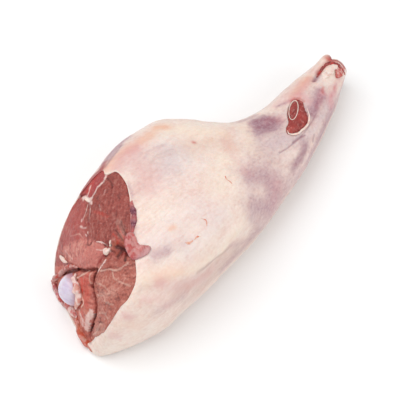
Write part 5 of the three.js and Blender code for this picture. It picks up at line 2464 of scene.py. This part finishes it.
@dataclass(frozen=True)
class Studio:
    """A pale floor, soft light from above and behind on the left, and the camera."""

    turn: float = 47.0
    elevation: float = 60.0
    distance: float = 1235.0
    target: Triple = (-24.7, -15.2, 42.75)
    half_view: float = 190.0
    sensor: float = 36.0
    floor_size: float = 5000.0
    floor_colour: str = "#F7F7F7"
    floor_roughness: float = 0.9
    lights: tuple[Light, ...] = (
        Light("key", (-380.0, 420.0, 1380.0), 1500.0, 14.0),
        Light("fill", (300.0, -1100.0, 700.0), 1200.0, 5.0),
    )
    sky: float = 0.62

    def build(self) -> None:
        """Makes the floor, the lights and the camera."""
        self.build_camera()
        self.build_floor()
        for light in self.lights:
            self.build_light(light)
        world = bpy.data.worlds.new("studio")
        world.use_nodes = True
        background = world.node_tree.nodes["Background"]
        background.inputs["Color"].default_value = (1.0, 1.0, 1.0, 1.0)
        background.inputs["Strength"].default_value = self.sky
        bpy.context.scene.world = world
        bpy.context.scene.view_settings.view_transform = "Standard"

    def build_camera(self) -> None:
        """Makes the camera: turned about the vertical, raised, and aimed at its target."""
        turn, elevation = np.radians([self.turn, self.elevation])
        right = np.array([np.cos(turn), -np.sin(turn), 0.0])
        ahead = np.array([np.sin(turn), np.cos(turn), 0.0])
        up = np.sin(elevation) * ahead + np.array([0.0, 0.0, np.cos(elevation)])
        back = np.cross(right, up)
        data = bpy.data.cameras.new("camera")
        data.sensor_width = self.sensor
        data.lens = self.sensor / 2 / (self.half_view / self.distance)
        camera = bpy.data.objects.new("camera", data)
        camera.matrix_world = placed((right, up, back), np.array(self.target) + back * self.distance)
        bpy.context.scene.collection.objects.link(camera)
        bpy.context.scene.camera = camera

    def build_floor(self) -> None:
        """Makes the floor, a sheet of pale matt card."""
        half = self.floor_size / 2 * MM
        mesh = bpy.data.meshes.new("floor")
        corners = [(-half, -half, 0), (half, -half, 0), (half, half, 0), (-half, half, 0)]
        mesh.from_pydata(corners, [], [(0, 1, 2, 3)])
        material = bpy.data.materials.new("pale card")
        material.use_nodes = True
        shader = material.node_tree.nodes["Principled BSDF"]
        shader.inputs["Base Color"].default_value = linear(self.floor_colour)
        shader.inputs["Roughness"].default_value = self.floor_roughness
        mesh.materials.append(material)
        floor = bpy.data.objects.new("floor", mesh)
        bpy.context.scene.collection.objects.link(floor)

    def build_light(self, light: Light) -> None:
        """Makes a light, turned so that it faces the middle of the view.

        Args:
            light: which one.
        """
        data = bpy.data.lights.new(light.name, "AREA")
        data.size = light.size * MM
        data.energy = light.energy
        lamp = bpy.data.objects.new(light.name, data)
        back = unit(np.array(light.place) - np.array(self.target))
        side = unit(np.cross(np.array([0.0, 0.0, 1.0]), back))
        lamp.matrix_world = placed((side, np.cross(back, side), back), np.array(light.place))
        bpy.context.scene.collection.objects.link(lamp)


def placed(axes: tuple[Array, Array, Array], place: Array) -> Matrix:
    """The matrix of something with its own three axes, at a place in millimetres."""
    return Matrix([[*row, spot] for row, spot in zip(np.stack(axes, 1), place * MM)] + [[0, 0, 0, 1]])


def main() -> None:
    """Builds the leg, piece by piece, and the studio round it."""
    logging.basicConfig(level=logging.INFO, format="%(message)s")
    Studio().build()
    for assembly in (
        FatCover(), LeanFace(), ThighBone(), HipJoint(), UpperRim(), ShankWindow(), ShankBone(), HockEnd(),
    ):
        assembly.build()


if __name__ == "__main__":
    main()
